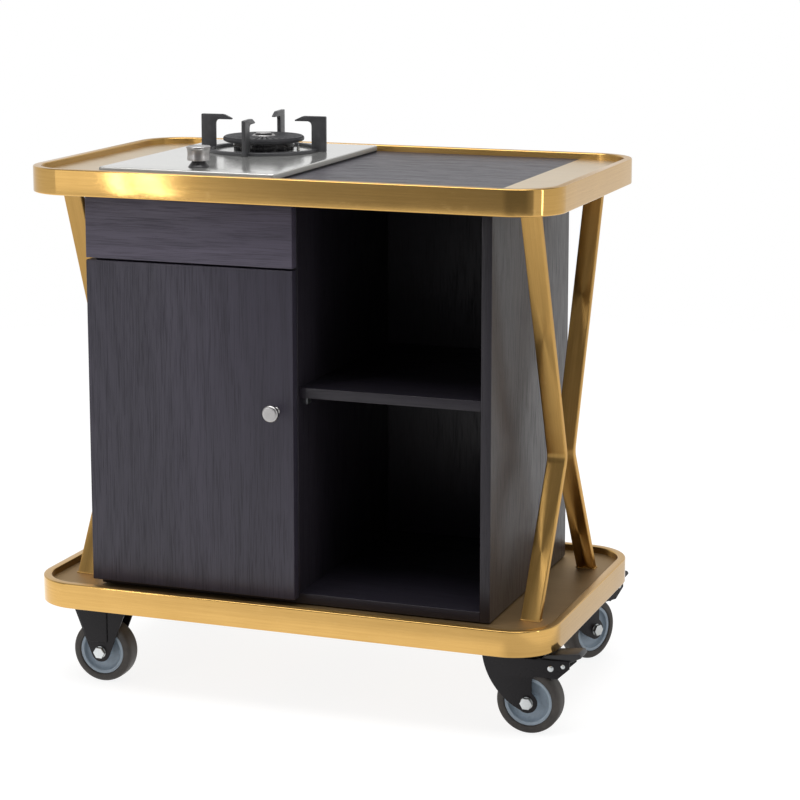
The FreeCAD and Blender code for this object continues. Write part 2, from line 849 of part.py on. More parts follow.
def door_knob():
    """A turned mushroom knob, standing out of the door."""
    forwards = Vector(1, 0, 0)
    body = new_body("door_knob", ("knob_x", "fronts_face", "knob_z"), forwards, "90")
    corners = [
        ("0", "0"), ("knob_foot", "0"), ("knob_foot", "knob_foot_height"), ("knob_stem", "knob_neck"),
        ("knob_stem", "knob_flare"), ("knob_radius - knob_round", "knob_shoulder - 2 * knob_round"),
        ("knob_radius", "knob_shoulder"), ("knob_radius", "knob_face"),
        ("knob_radius - knob_round", "knob_length"), ("0", "knob_length"),
    ]
    revolve(body, corners)
    node("door_knob", body)


def hinge_half(name, bottom, leaf_y, knuckles, middle, cut_middle):
    """A hinge leaf with its knuckles; the pin is part of one half and the other is bored for it."""
    step = f"hinge_height / {KNUCKLES}"
    at = ("hinge_x", "hinge_y")
    leaf_x = ("hinge_leaf_edge", "hinge_leaf_edge + hinge_leaf_width")
    pieces = [box(f"{name}_leaf", leaf_x, leaf_y, (bottom, f"{bottom} + hinge_height"))]
    for place in knuckles:
        low = f"{bottom} + {place} * {step} + knuckle_gap / 2"
        tall = (low, f"{low} + {step} - knuckle_gap")
        pieces.append(box(f"{name}_tab_{place}", ("hinge_x", "hinge_leaf_edge"), leaf_y, tall))
        pieces.append(rod(f"{name}_knuckle_{place}", "knuckle_radius", f"{step} - knuckle_gap", (*at, low)))
    whole = rod(f"{name}_middle", middle, "hinge_height - knuckle_gap", (*at, f"{bottom} + knuckle_gap / 2"))
    if cut_middle:
        return cut(name, fuse(f"{name}_pieces", pieces), whole)
    return fuse(name, pieces + [whole])


def hinges():
    """Two butt hinges of three knuckles each, hidden behind the overhang of the door."""
    fixed, moving = [], []
    pin, bore = "hinge_pin_radius", "hinge_pin_radius + running_clearance"
    fixed_leaf = ("carcass_front - hinge_leaf", "carcass_front")
    door_leaf = ("fronts_back", "fronts_back + hinge_leaf")
    for place, bottom in (("low", "door_bottom + hinge_inset"),
                          ("high", "door_top - hinge_inset - hinge_height")):
        fixed.append(hinge_half(f"hinge_fixed_{place}", bottom, fixed_leaf, (0, 2), pin, False))
        moving.append(hinge_half(f"hinge_moving_{place}", bottom, door_leaf, (1,), bore, True))
    node("hinge_leaves_fixed", group("hinge_leaves_fixed", fixed))
    node("hinge_leaves_door", group("hinge_leaves_door", moving))


def door():
    front_panel("door_panel", ("fronts_left", "bay_left"), ("door_bottom", "door_top"))
    door_knob()
    hinges()
    catch_x = ("divider_left - catch_width", "divider_left")
    catch_z = ("catch_top - catch_height", "catch_top")
    strike_face = "fronts_back + strike_sheet"
    catch_y = (f"{strike_face} + catch_gap", f"{strike_face} + catch_gap + catch_length")
    node("magnetic_catch", box("magnetic_catch", catch_x, catch_y, catch_z))
    node("strike_plate", box("strike_plate", catch_x, ("fronts_back", strike_face), catch_z))


# Hob and burner


def hob_rectangle(sketch, inset, radius):
    """A rectangle set in from the edge of the hob's panel."""
    x_span = (f"hob_x - hob_width / 2 + ({inset})", f"hob_x + hob_width / 2 - ({inset})")
    rectangle(sketch, x_span, (f"hob_front + ({inset})", f"hob_back - ({inset})"), radius)


def hob_panel():
    """A pressed stainless pan, upside down, with holes for burner, spindle and electrode."""
    body = new_body("hob_panel")
    sketch = new_sketch(body, "XY", "panel_bottom")
    hob_rectangle(sketch, "0", "hob_corner")
    block = pad(body, sketch, "hob_height")
    top = size("panel_top")
    dress_edges(body, block, "Chamfer", "hob_edge", lambda middle: near(middle.z, top))
    hollow = new_sketch(body, "XY", "panel_bottom")
    hob_rectangle(hollow, "hob_sheet", "hob_corner - hob_sheet")
    pocket(body, hollow, "hob_height - hob_sheet", upwards=True)
    holes = new_sketch(body, "XY", "panel_top")
    circle(holes, "cup_inner - cap_fit", "hob_x", "burner_y")
    circle(holes, "bezel_bore", "hob_x", "control_y")
    circle(holes, "electrode_radius + bore_clearance", *electrode_place())
    pocket(body, holes, "hob_height")
    node("hob_panel", body)


def electrode_place():
    x = "hob_x + electrode_circle * cos(electrode_angle * 1 deg)"
    y = "burner_y + electrode_circle * sin(electrode_angle * 1 deg)"
    return x, y


def hob_base():
    """The foam seal under the panel's edge and the chassis box that hangs in the cut-out."""
    seal = new_body("hob_seal")
    sketch = new_sketch(seal, "XY", "upper_floor")
    hob_rectangle(sketch, "seal_inset", "hob_corner")
    hob_rectangle(sketch, "seal_inset + seal_width", "hob_corner")
    pad(seal, sketch, "seal_height")
    node("hob_seal", seal)
    chassis = new_body("hob_chassis")
    walls = new_sketch(chassis, "XY", "chassis_bottom")
    rectangle(walls, ("chassis_left", "chassis_right"), ("chassis_front", "chassis_back"), "chassis_corner")
    pad(chassis, walls, "panel_under - chassis_bottom")
    inside = new_sketch(chassis, "XY", "panel_under")
    inner_x = ("chassis_left + chassis_wall", "chassis_right - chassis_wall")
    inner_y = ("chassis_front + chassis_wall", "chassis_back - chassis_wall")
    rectangle(inside, inner_x, inner_y, "chassis_corner - chassis_wall")
    pocket(chassis, inside, "panel_under - chassis_bottom - chassis_wall")
    outlet = new_sketch(chassis, "XY", "chassis_bottom + chassis_wall")
    circle(outlet, "pipe_radius + bore_clearance", "pipe_x", "pipe_y")
    pocket(chassis, outlet, "chassis_wall")
    node("hob_chassis", chassis)


def burner_body():
    """The cast cup, its throat and the mixing tube that runs to the jet."""
    place = ("hob_x", "burner_y", "0")
    body = new_body("burner_cup", place)
    corners = [
        ("0", "throat_bottom"), ("throat_radius", "throat_bottom"),
        ("throat_radius", "panel_under - hob_height"),
        ("cup_inner - cap_fit - bore_clearance", "panel_under"),
        ("cup_inner - cap_fit - bore_clearance", "panel_top"), ("cup_radius", "panel_top"),
        ("cup_radius", "cup_top"), ("cup_inner", "cup_top"), ("cup_inner", "cup_top - cap_spigot - cap_fit"),
        ("throat_radius", "cup_floor"), ("0", "cup_floor"),
    ]
    revolve(body, corners)
    tube_foot = ("hob_x", "burner_y - tube_length", "jet_z")
    tube = rod("mixing_tube", "tube_radius", "tube_length", tube_foot, "Y")
    mouth = rod("mixing_mouth", "tube_radius - tube_wall", "tube_length - throat_radius", tube_foot, "Y")
    node("burner_body", cut("burner_body", fuse("burner_casting", [body, tube]), mouth))


def burner_cap():
    """The flame spreader: a tapered disc with radial slots and a raised crown, lifted straight off."""
    body = new_body("burner_cap", ("hob_x", "burner_y", "0"))
    top = "cup_top + cap_thickness"
    corners = [
        ("0", "cup_top - cap_spigot"), ("cup_inner - cap_fit", "cup_top - cap_spigot"),
        ("cup_inner - cap_fit", "cup_top"), ("cap_radius - cap_taper", "cup_top"),
        ("cap_radius", "cup_top + cap_taper"), ("cap_radius - cap_taper / 2", top),
        ("crown_ring", top), ("crown_ring", f"{top} + crown_ring_height"),
        ("crown_radius", f"{top} + crown_ring_height + crown_ring_slope"),
        ("crown_radius", f"{top} + crown_height - crown_edge"),
        ("crown_radius - crown_bevel", f"{top} + crown_height"), ("0", f"{top} + crown_height"),
    ]
    revolve(body, corners)
    sketch = new_sketch(body, "XY", top)
    rectangle(sketch, ("slot_inner", "slot_outer"), ("-slot_width / 2", "slot_width / 2"))
    ring_of(body, pocket(body, sketch, "slot_depth"), "slot_count")
    node("burner_cap", body)


def pan_support():
    """A ring with four flat hooked arms, dropped over the burner."""
    place = ("hob_x", "burner_y", "panel_top")
    body = new_body("pan_support", place, Vector(0, 0, 1), "support_angle")
    ring = new_sketch(body, "XY")
    circle(ring, "support_ring")
    circle(ring, "support_ring - support_ring_width")
    pad(body, ring, "support_ring_height")
    sketch = new_sketch(body, "XZ")
    inner = "support_reach - arm_width"
    under = "support_height - arm_bar"
    corners = [
        (inner, "0"), ("support_reach", "0"), ("support_reach", "support_height"),
        ("support_reach - arm_flat", "support_height"), ("support_reach - arm_length", f"{under} + arm_tip"),
        ("support_reach - arm_length", under), (f"{inner} - arm_fillet", under, "arm_fillet", -1),
        (inner, f"{under} - arm_fillet"),
    ]
    outline(sketch, corners)
    arm = pad(body, sketch, "arm_sheet", both_ways=True)
    ring_of(body, arm, "arm_count")
    node("pan_support", body)


def electrode():
    x, y = electrode_place()
    ceramic = rod("electrode_ceramic", "electrode_radius", "electrode_depth + electrode_height",
                  (x, y, "panel_top - electrode_depth"))
    wire = rod("electrode_wire", "electrode_wire", "electrode_wire_height - electrode_height",
               (x, y, "panel_top + electrode_height"))
    node("ignition_electrode", fuse("ignition_electrode", [ceramic, wire]))


# Gas controls


def gas_valve():
    """The valve casting under the panel with its jet, and the pipe that feeds it from the rear."""
    at = ("hob_x", "control_y")
    half = "elbow_size / 2"
    pieces = [
        rod("valve_barrel", "valve_radius", "panel_under - valve_bottom", (*at, "valve_bottom")),
        rod("valve_jet", "jet_radius", "jet_length", (*at, "jet_z"), "Y"),
        rod("inlet_across", "pipe_radius", "hob_x - pipe_x", ("pipe_x", "control_y", "jet_z"), "X"),
        rod("inlet_along", "pipe_radius", "pipe_y - control_y", ("pipe_x", "control_y", "jet_z"), "Y"),
        rod("inlet_drop", "pipe_radius", "jet_z - pipe_bottom", ("pipe_x", "pipe_y", "pipe_bottom")),
    ]
    for place, y in (("front", "control_y"), ("rear", "pipe_y")):
        spans = [(f"{middle} - {half}", f"{middle} + {half}") for middle in ("pipe_x", y, "jet_z")]
        pieces.append(box(f"elbow_{place}", *spans))
    bore_radius = "cone_radius + running_clearance"
    bore = rod("valve_bore", bore_radius, "panel_under - cone_bottom", (*at, "cone_bottom"))
    node("gas_valve", cut("gas_valve", fuse("valve_casting", pieces), bore))


def gas_control():
    """The turning cone, the spindle that presses through it, the bezel and the knob."""
    at = ("hob_x", "control_y")
    plug = rod("cone_plug", "cone_radius", "cone_length - cone_gap", (*at, "cone_bottom + cone_gap"))
    socket = rod("cone_socket", "spindle_radius + running_clearance", "cone_top - cone_bottom - cone_floor",
                 (*at, "cone_bottom + cone_floor"))
    node("valve_cone", cut("valve_cone", plug, socket))
    node("valve_spindle", rod("valve_spindle", "spindle_radius", "spindle_top - spindle_bottom",
                              (*at, "spindle_bottom")))
    bezel = new_body("knob_bezel", (*at, "panel_top"))
    revolve(bezel, [
        ("bezel_bore", "0"), ("bezel_radius", "0"), ("bezel_radius", "bezel_edge"),
        ("bezel_neck", "bezel_height - bezel_lip"), ("bezel_neck", "bezel_height"),
        ("bezel_bore", "bezel_height"),
    ])
    node("knob_bezel", bezel)
    knob = new_body("burner_knob", (*at, "dial_bottom"))
    waist = "dial_radius - dial_waist"
    revolve(knob, [
        ("0", "spindle_in_dial"), ("spindle_radius", "spindle_in_dial"), ("spindle_radius", "dial_recess"),
        ("dial_recess_radius", "dial_recess"), ("dial_recess_radius", "0"), (waist, "0"),
        ("dial_radius", "dial_waist"), (waist, "dial_height / 2"),
        ("dial_radius", "dial_height - dial_waist"),
        (waist, "dial_height"), ("0", "dial_height"),
    ])
    node("burner_knob", knob)


def hob():
    hob_panel()
    hob_base()
    burner_body()
    burner_cap()
    pan_support()
    electrode()
    gas_valve()
    gas_control()


# Casters


def mounting_plate(body):
    sketch = new_sketch(body, "XY", "plate_bottom")
    rectangle(sketch, *centred("plate_length / 2", "plate_width / 2"), "plate_corner")
    pad(body, sketch, "plate_sheet")


def both_cheeks(body, draw, sheet_size="fork_sheet", start="fork_gap / 2"):
    """Pad one outline as a plate on each side of the wheel."""
    for offset in (start, f"-({start} + {sheet_size})"):
        sketch = new_sketch(body, "XZ", offset)
        draw(sketch)
        pad(body, sketch, sheet_size)


def rigid_fork(name, y):
    """A pressed fork with two tapering cheeks, each with a raised rib, under its plate."""
    body = new_body(name, ("-rigid_x", y, "0"))
    mounting_plate(body)
    spread = "rigid_top_half"
    height = "plate_bottom - wheel_radius"
    reach = f"sqrt(({spread})^2 + ({height})^2 - boss_radius^2)"
    turn = f"(atan(({height}) / ({spread})) + atan(boss_radius / ({reach})))"

    def cheek(sketch):
        touch_x = f"boss_radius * sin({turn})"
        touch_z = f"wheel_radius - boss_radius * cos({turn})"
        corners = [
            (f"-({spread})", "plate_bottom"), (f"-({touch_x})", touch_z, "boss_radius", 1),
            ("0", "wheel_radius - boss_radius", "boss_radius", 1), (touch_x, touch_z),
            (spread, "plate_bottom"),
        ]
        outline(sketch, corners)
        circle(sketch, "axle_radius + running_clearance", "0", "wheel_radius")

    def rib(sketch):
        foot = "wheel_radius + boss_radius"
        outline(sketch, [
            ("-rigid_rib_foot", foot), ("rigid_rib_half", foot),
            ("rigid_rib_half", "plate_bottom"), ("-rigid_rib_top", "plate_bottom"),
        ])

    both_cheeks(body, cheek)
    both_cheeks(body, rib, "rigid_rib", "cheek_outer")
    return body


def swivel_plate(name, y):
    """The fixed plate of a swivel caster with its race and the riveted kingpin."""
    body = new_body(name, ("swivel_x", y, "0"))
    mounting_plate(body)
    race = new_sketch(body, "XY", "plate_bottom")
    circle(race, "race_radius")
    pad(body, race, "race_height - race_cup - race_gap", backwards=True)
    kingpin = new_sketch(body, "XY", "plate_bottom")
    circle(kingpin, "kingpin_radius")
    pad(body, kingpin, "plate_bottom - crown_bottom + race_gap", backwards=True)
    head = new_sketch(body, "XY", "crown_bottom - race_gap")
    circle(head, "kingpin_head_radius")
    pad(body, head, "kingpin_head", backwards=True)
    return body


def swivel_cheek(sketch):
    """A D-shaped cheek: curved front edge, boss round the axle, arm to the pedal pin.

    The corners on the boss lie on its circle, at 3-4-5 slopes from the axle.
    """
    lift, side = "wheel_radius", "trail + cheek_trail_edge"
    short, long = "boss_radius * 3 / 5", "boss_radius * 4 / 5"
    corners = [
        ("-crown_front", "crown_top", "cheek_lead_radius", 1),
        (f"trail - {short}", f"{lift} - {long}", "boss_radius", 1),
        (f"trail + {short}", f"{lift} - {long}", "boss_radius", 1),
        (f"trail + {long}", f"{lift} + {short}"),
        (side, f"{lift} + boss_radius"), (side, "cheek_arm_bottom - cheek_fillet", "cheek_fillet", -1),
        (f"{side} + cheek_fillet", "cheek_arm_bottom"), ("cheek_arm_low", "cheek_arm_bottom"),
        ("cheek_arm_end", "cheek_arm_corner"), ("cheek_arm_end", "crown_top"),
    ]
    outline(sketch, corners)
    circle(sketch, "axle_radius + running_clearance", "trail", "wheel_radius")


def swivel_fork(name, place, turn):
    """The fork that turns about the kingpin, with the pin of the brake pedal."""
    body = new_body(name, place, Vector(0, 0, 1), turn)
    both_cheeks(body, swivel_cheek)
    crown = new_sketch(body, "XY", "crown_bottom")
    rectangle(crown, ("-crown_front", "crown_back"), ("-cheek_outer", "cheek_outer"))
    circle(crown, "kingpin_radius + running_clearance")
    pad(body, crown, "fork_sheet")
    cup = new_sketch(body, "XY", "crown_top")
    circle(cup, "race_radius - fork_sheet")
    circle(cup, "kingpin_radius + running_clearance")
    pad(body, cup, "race_cup")
    pin = new_sketch(body, "XZ")
    circle(pin, "pedal_pin_radius", "pedal_pin_u", "pedal_pin_z")
    pad(body, pin, "2 * cheek_outer + fork_sheet", both_ways=True)
    node(name, body)


def brake_pedal(name, place, turn):
    """The foot pedal between the cheeks, with the shoe that presses on the tread."""
    body = new_body(name, place, Vector(0, 0, 1), turn)
    sketch = new_sketch(body, "XZ")
    shoe_left, shoe_right = "pedal_shoe_u - pedal_shoe_half", "pedal_shoe_u + pedal_shoe_half"
    corners = [
        ("pedal_front", "pedal_pin_z + pedal_pin_radius"), (shoe_left, "pedal_pin_z - pedal_pin_radius"),
        (shoe_left, "pedal_shoe_z + pedal_shoe_half"), ("pedal_shoe_u", "pedal_shoe_z"),
        (shoe_right, "pedal_shoe_z + pedal_shoe_rise"), (f"{shoe_right} + pedal_shoe_rise", "pedal_pin_z"),
        ("pedal_tip_u - pedal_lip", "pedal_top - pedal_lip"), ("pedal_tip_u", "pedal_top - pedal_lip / 2"),
        ("pedal_tip_u - pedal_lip / 3", "pedal_top"),
        ("pedal_pin_u - pedal_lip / 2", "pedal_top - pedal_lip / 2"),
        ("pedal_front", "pedal_top - pedal_lip"),
    ]
    outline(sketch, corners)
    circle(sketch, "pedal_pin_radius + running_clearance", "pedal_pin_u", "pedal_pin_z")
    pad(body, sketch, "fork_gap - 2 * pedal_clearance", both_ways=True)
    node(name, body)


def wheel_place(x, y, turn):
    """Where a wheel's centre lies: its trail away from the caster's middle, turned with the fork."""
    return f"{x} + trail * cos({turn} * 1 deg)", f"{y} + trail * sin({turn} * 1 deg)", "wheel_radius"


def axle(name, place, turn):
    """A hex bolt through both cheeks with its nut."""
    body = new_body(name, place, Vector(0, 0, 1), turn)
    shank = new_sketch(body, "XZ", "cheek_outer")
    circle(shank, "axle_radius")
    pad(body, shank, "2 * cheek_outer + axle_nut + axle_end", backwards=True)
    for offset, length in (("cheek_outer", "axle_head"), ("-cheek_outer - axle_nut", "axle_nut")):
        sketch = new_sketch(body, "XZ", offset)
        hexagon(sketch, "axle_across")
        pad(body, sketch, length)
    return body


def hub(name, place, turn):
    """The wheel centre: barrel, dished web and rim, bored to run on the axle."""
    body = new_body(name, place, Vector(0, 0, 1), turn)
    rim_edge, web = "hub_rim_width / 2", "hub_web / 2"
    face = [
        ("axle_radius + running_clearance", "hub_half"), ("hub_barrel", "hub_half"),
        ("hub_barrel", web), ("hub_radius - 2 * hub_rim", web), ("hub_radius - hub_rim", rim_edge),
        ("hub_radius", rim_edge),
    ]
    other = [(radius, f"-({side})") for radius, side in reversed(face)]
    revolve(body, face + other, "XY")
    node(name, body)


def tyre(name, place, turn):
    """A solid rubber tyre with a rounded tread."""
    body = new_body(name, place, Vector(0, 0, 1), turn)
    face = [
        ("hub_radius", "hub_rim_width / 2"), ("hub_radius + tyre_bead", "tyre_width / 2"),
        ("wheel_radius - tyre_shoulder", "tyre_width / 2"), ("wheel_radius", "tyre_tread / 2"),
    ]
    other = [(radius, f"-({side})") for radius, side in reversed(face)]
    revolve(body, face + other, "XY")
    node(name, body)


def casters():
    forks, plates, axles = [], [], []
    for row, y in (("front", "-caster_y"), ("rear", "caster_y")):
        forks.append(rigid_fork(f"rigid_fork_{row}", y))
        place = ("-rigid_x", y, "wheel_radius")
        axles.append(axle(f"rigid_axle_{row}", place, "0"))
        hub(f"hub_{row}_left", place, "0")
        tyre(f"tyre_{row}_left", place, "0")
        plates.append(swivel_plate(f"swivel_plate_{row}", y))
        base = ("swivel_x", y, "0")
        turn = "0" if row == "front" else "rear_swivel_angle"
        swivel_fork(f"swivel_fork_{row}_right", base, turn)
        brake_pedal(f"brake_pedal_{row}_right", base, turn)
        centre = wheel_place("swivel_x", y, turn)
        node(f"axle_{row}_right", axle(f"axle_{row}_right", centre, turn))
        hub(f"hub_{row}_right", centre, turn)
        tyre(f"tyre_{row}_right", centre, turn)
    node("rigid_forks", group("rigid_forks", forks))
    node("rigid_axles", group("rigid_axles", axles))
    node("swivel_plates", group("swivel_plates", plates))


frame()
carcass()
top_board()
drawer()
door()
hob()
casters()
doc.recompute()

for thing in doc.Objects:
    if "Invalid" in thing.State or "Error" in thing.State:
        raise RuntimeError(f"{thing.Label} failed: {thing.State}")
for name, thing in nodes.items():
    if thing.Shape.isNull() or not thing.Shape.isValid() or not thing.Shape.Solids:
        raise RuntimeError(f"{name} has no valid shape")

os.makedirs("parts", exist_ok=True)
for name, thing in nodes.items():
    thing.Shape.exportStep(f"parts/{name}.step")
print(f"{len(nodes)} sub-parts written")
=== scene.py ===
"""Food serving cart: the detailed pieces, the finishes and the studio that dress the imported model."""

import bpy
import numpy as np
from bpy.props import FloatProperty, FloatVectorProperty, PointerProperty
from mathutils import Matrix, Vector


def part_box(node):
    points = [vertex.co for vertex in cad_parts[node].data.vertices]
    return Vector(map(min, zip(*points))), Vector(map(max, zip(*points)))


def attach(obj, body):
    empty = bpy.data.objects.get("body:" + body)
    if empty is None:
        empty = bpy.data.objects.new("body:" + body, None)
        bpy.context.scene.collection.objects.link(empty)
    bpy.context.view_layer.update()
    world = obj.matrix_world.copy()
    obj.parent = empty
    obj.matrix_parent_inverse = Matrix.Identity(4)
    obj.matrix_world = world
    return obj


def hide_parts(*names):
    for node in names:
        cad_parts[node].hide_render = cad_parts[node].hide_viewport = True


bl_info = {
    "name": "Serving cart dressing",
    "version": (1, 0, 0),
    "blender": (4, 5, 0),
    "location": "View3D > Sidebar > Cart",
    "description": "Makes the bands, boards, hob, burner and casters of a serving cart",
    "category": "Object",
}

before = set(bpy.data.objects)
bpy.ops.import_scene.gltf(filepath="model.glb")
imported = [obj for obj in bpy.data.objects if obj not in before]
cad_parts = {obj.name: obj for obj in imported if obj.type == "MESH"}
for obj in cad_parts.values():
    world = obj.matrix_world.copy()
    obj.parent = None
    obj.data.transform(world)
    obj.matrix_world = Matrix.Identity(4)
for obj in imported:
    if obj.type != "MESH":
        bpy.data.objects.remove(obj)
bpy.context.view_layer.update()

MM = 0.001
TURN = 2 * np.pi

# Lays a shape that is drawn in XY and raised along Z: its height then runs to the front, along -Y
LAY_FRONT = np.array([(1, 0, 0), (0, 0, -1), (0, 1, 0)], float)


def span(node):
    """The lowest and highest corner of a CAD node, in metres, as arrays."""
    low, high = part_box(node)
    return np.array(low), np.array(high)


# Outlines and profiles


def unit(vectors):
    return vectors / np.maximum(np.linalg.norm(vectors, axis=-1, keepdims=True), 1e-12)


def soften(corners, reach, steps, closed=True):
    """Rounds each corner P by the parabola (1-t)^2 A + 2t(1-t) P + t^2 B, with A and B on its two sides.

    A and B lie the given reach from P, or 0.45 of the side where that is less.
    """
    p = np.asarray(corners, float)
    back, on = np.roll(p, 1, 0) - p, np.roll(p, -1, 0) - p
    reach = np.broadcast_to(np.asarray(reach, float), (len(p),))[:, None]
    a = p + unit(back) * np.minimum(reach, 0.45 * np.linalg.norm(back, axis=1, keepdims=True))
    b = p + unit(on) * np.minimum(reach, 0.45 * np.linalg.norm(on, axis=1, keepdims=True))
    t = np.linspace(0, 1, steps + 1)[None, :, None]
    rounded = (1 - t) ** 2 * a[:, None] + 2 * t * (1 - t) * p[:, None] + t**2 * b[:, None]
    if closed:
        return rounded.reshape(-1, p.shape[1])
    return np.vstack([p[:1], rounded[1:-1].reshape(-1, p.shape[1]), p[-1:]])


def rectangle(low, high):
    (x0, y0), (x1, y1) = low, high
    return np.array([(x0, y0), (x1, y0), (x1, y1), (x0, y1)], float)


def angles(steps):
    return np.arange(steps) * TURN / steps


def circle(radius, steps):
    """Points at equal angles: radius (cos a, sin a)."""
    angle = angles(steps)
    return radius * np.stack([np.cos(angle), np.sin(angle)], 1)


def turned(radius, angle, height):
    """Points (r cos a, r sin a, h) of a grid whose rows are a profile and whose columns are angles."""
    return np.stack(np.broadcast_arrays(radius * np.cos(angle), radius * np.sin(angle), height), -1)


def raised(rows, heights):
    """Rows of points in XY, each row lifted to its own height."""
    return np.concatenate([rows, np.broadcast_to(heights[:, None, None], (*rows.shape[:2], 1))], -1)


def measured(line):
    """Distance along a closed line to each of its points, and last back to the first."""
    steps = np.linalg.norm(np.diff(np.vstack([line, line[:1]]), axis=0), axis=1)
    return np.concatenate([[0], np.cumsum(steps)])


def round_rectangle(half_x, half_y, radius, steps, run=6):
    """Outline and outward normals of a rectangle with corner arcs, each side divided into a few runs."""
    angle = np.linspace(0, TURN / 4, steps + 1)
    turns = angle[None, :] + np.arange(4)[:, None] * TURN / 4
    middle = np.array([(1, 1), (-1, 1), (-1, -1), (1, -1)]) * (half_x - radius, half_y - radius)
    normals = np.stack([np.cos(turns), np.sin(turns)], -1)
    arcs = middle[:, None] + radius * normals
    share = np.linspace(0, 1, run + 1)[1:-1][None, :, None]
    sides = arcs[:, -1:] * (1 - share) + np.roll(arcs, -1, 0)[:, :1] * share
    side_normals = np.repeat(normals[:, -1:], run - 1, 1)
    points = np.concatenate([arcs, sides], 1).reshape(-1, 2)
    return points, np.concatenate([normals, side_normals], 1).reshape(-1, 2)


def inward(outline):
    """The inward direction at each point of a closed outline, as long as keeps its sides parallel."""
    before = unit(outline - np.roll(outline, 1, 0))
    after = unit(np.roll(outline, -1, 0) - outline)
    x, y = outline.T
    way = np.sign(np.sum(x * np.roll(y, -1) - y * np.roll(x, -1)))
    first = np.stack([-before[:, 1], before[:, 0]], 1)
    second = np.stack([-after[:, 1], after[:, 0]], 1)
    middle = unit(first + second)
    return way * middle / np.maximum(np.sum(middle * second, 1, keepdims=True), 0.4)


# Surfaces


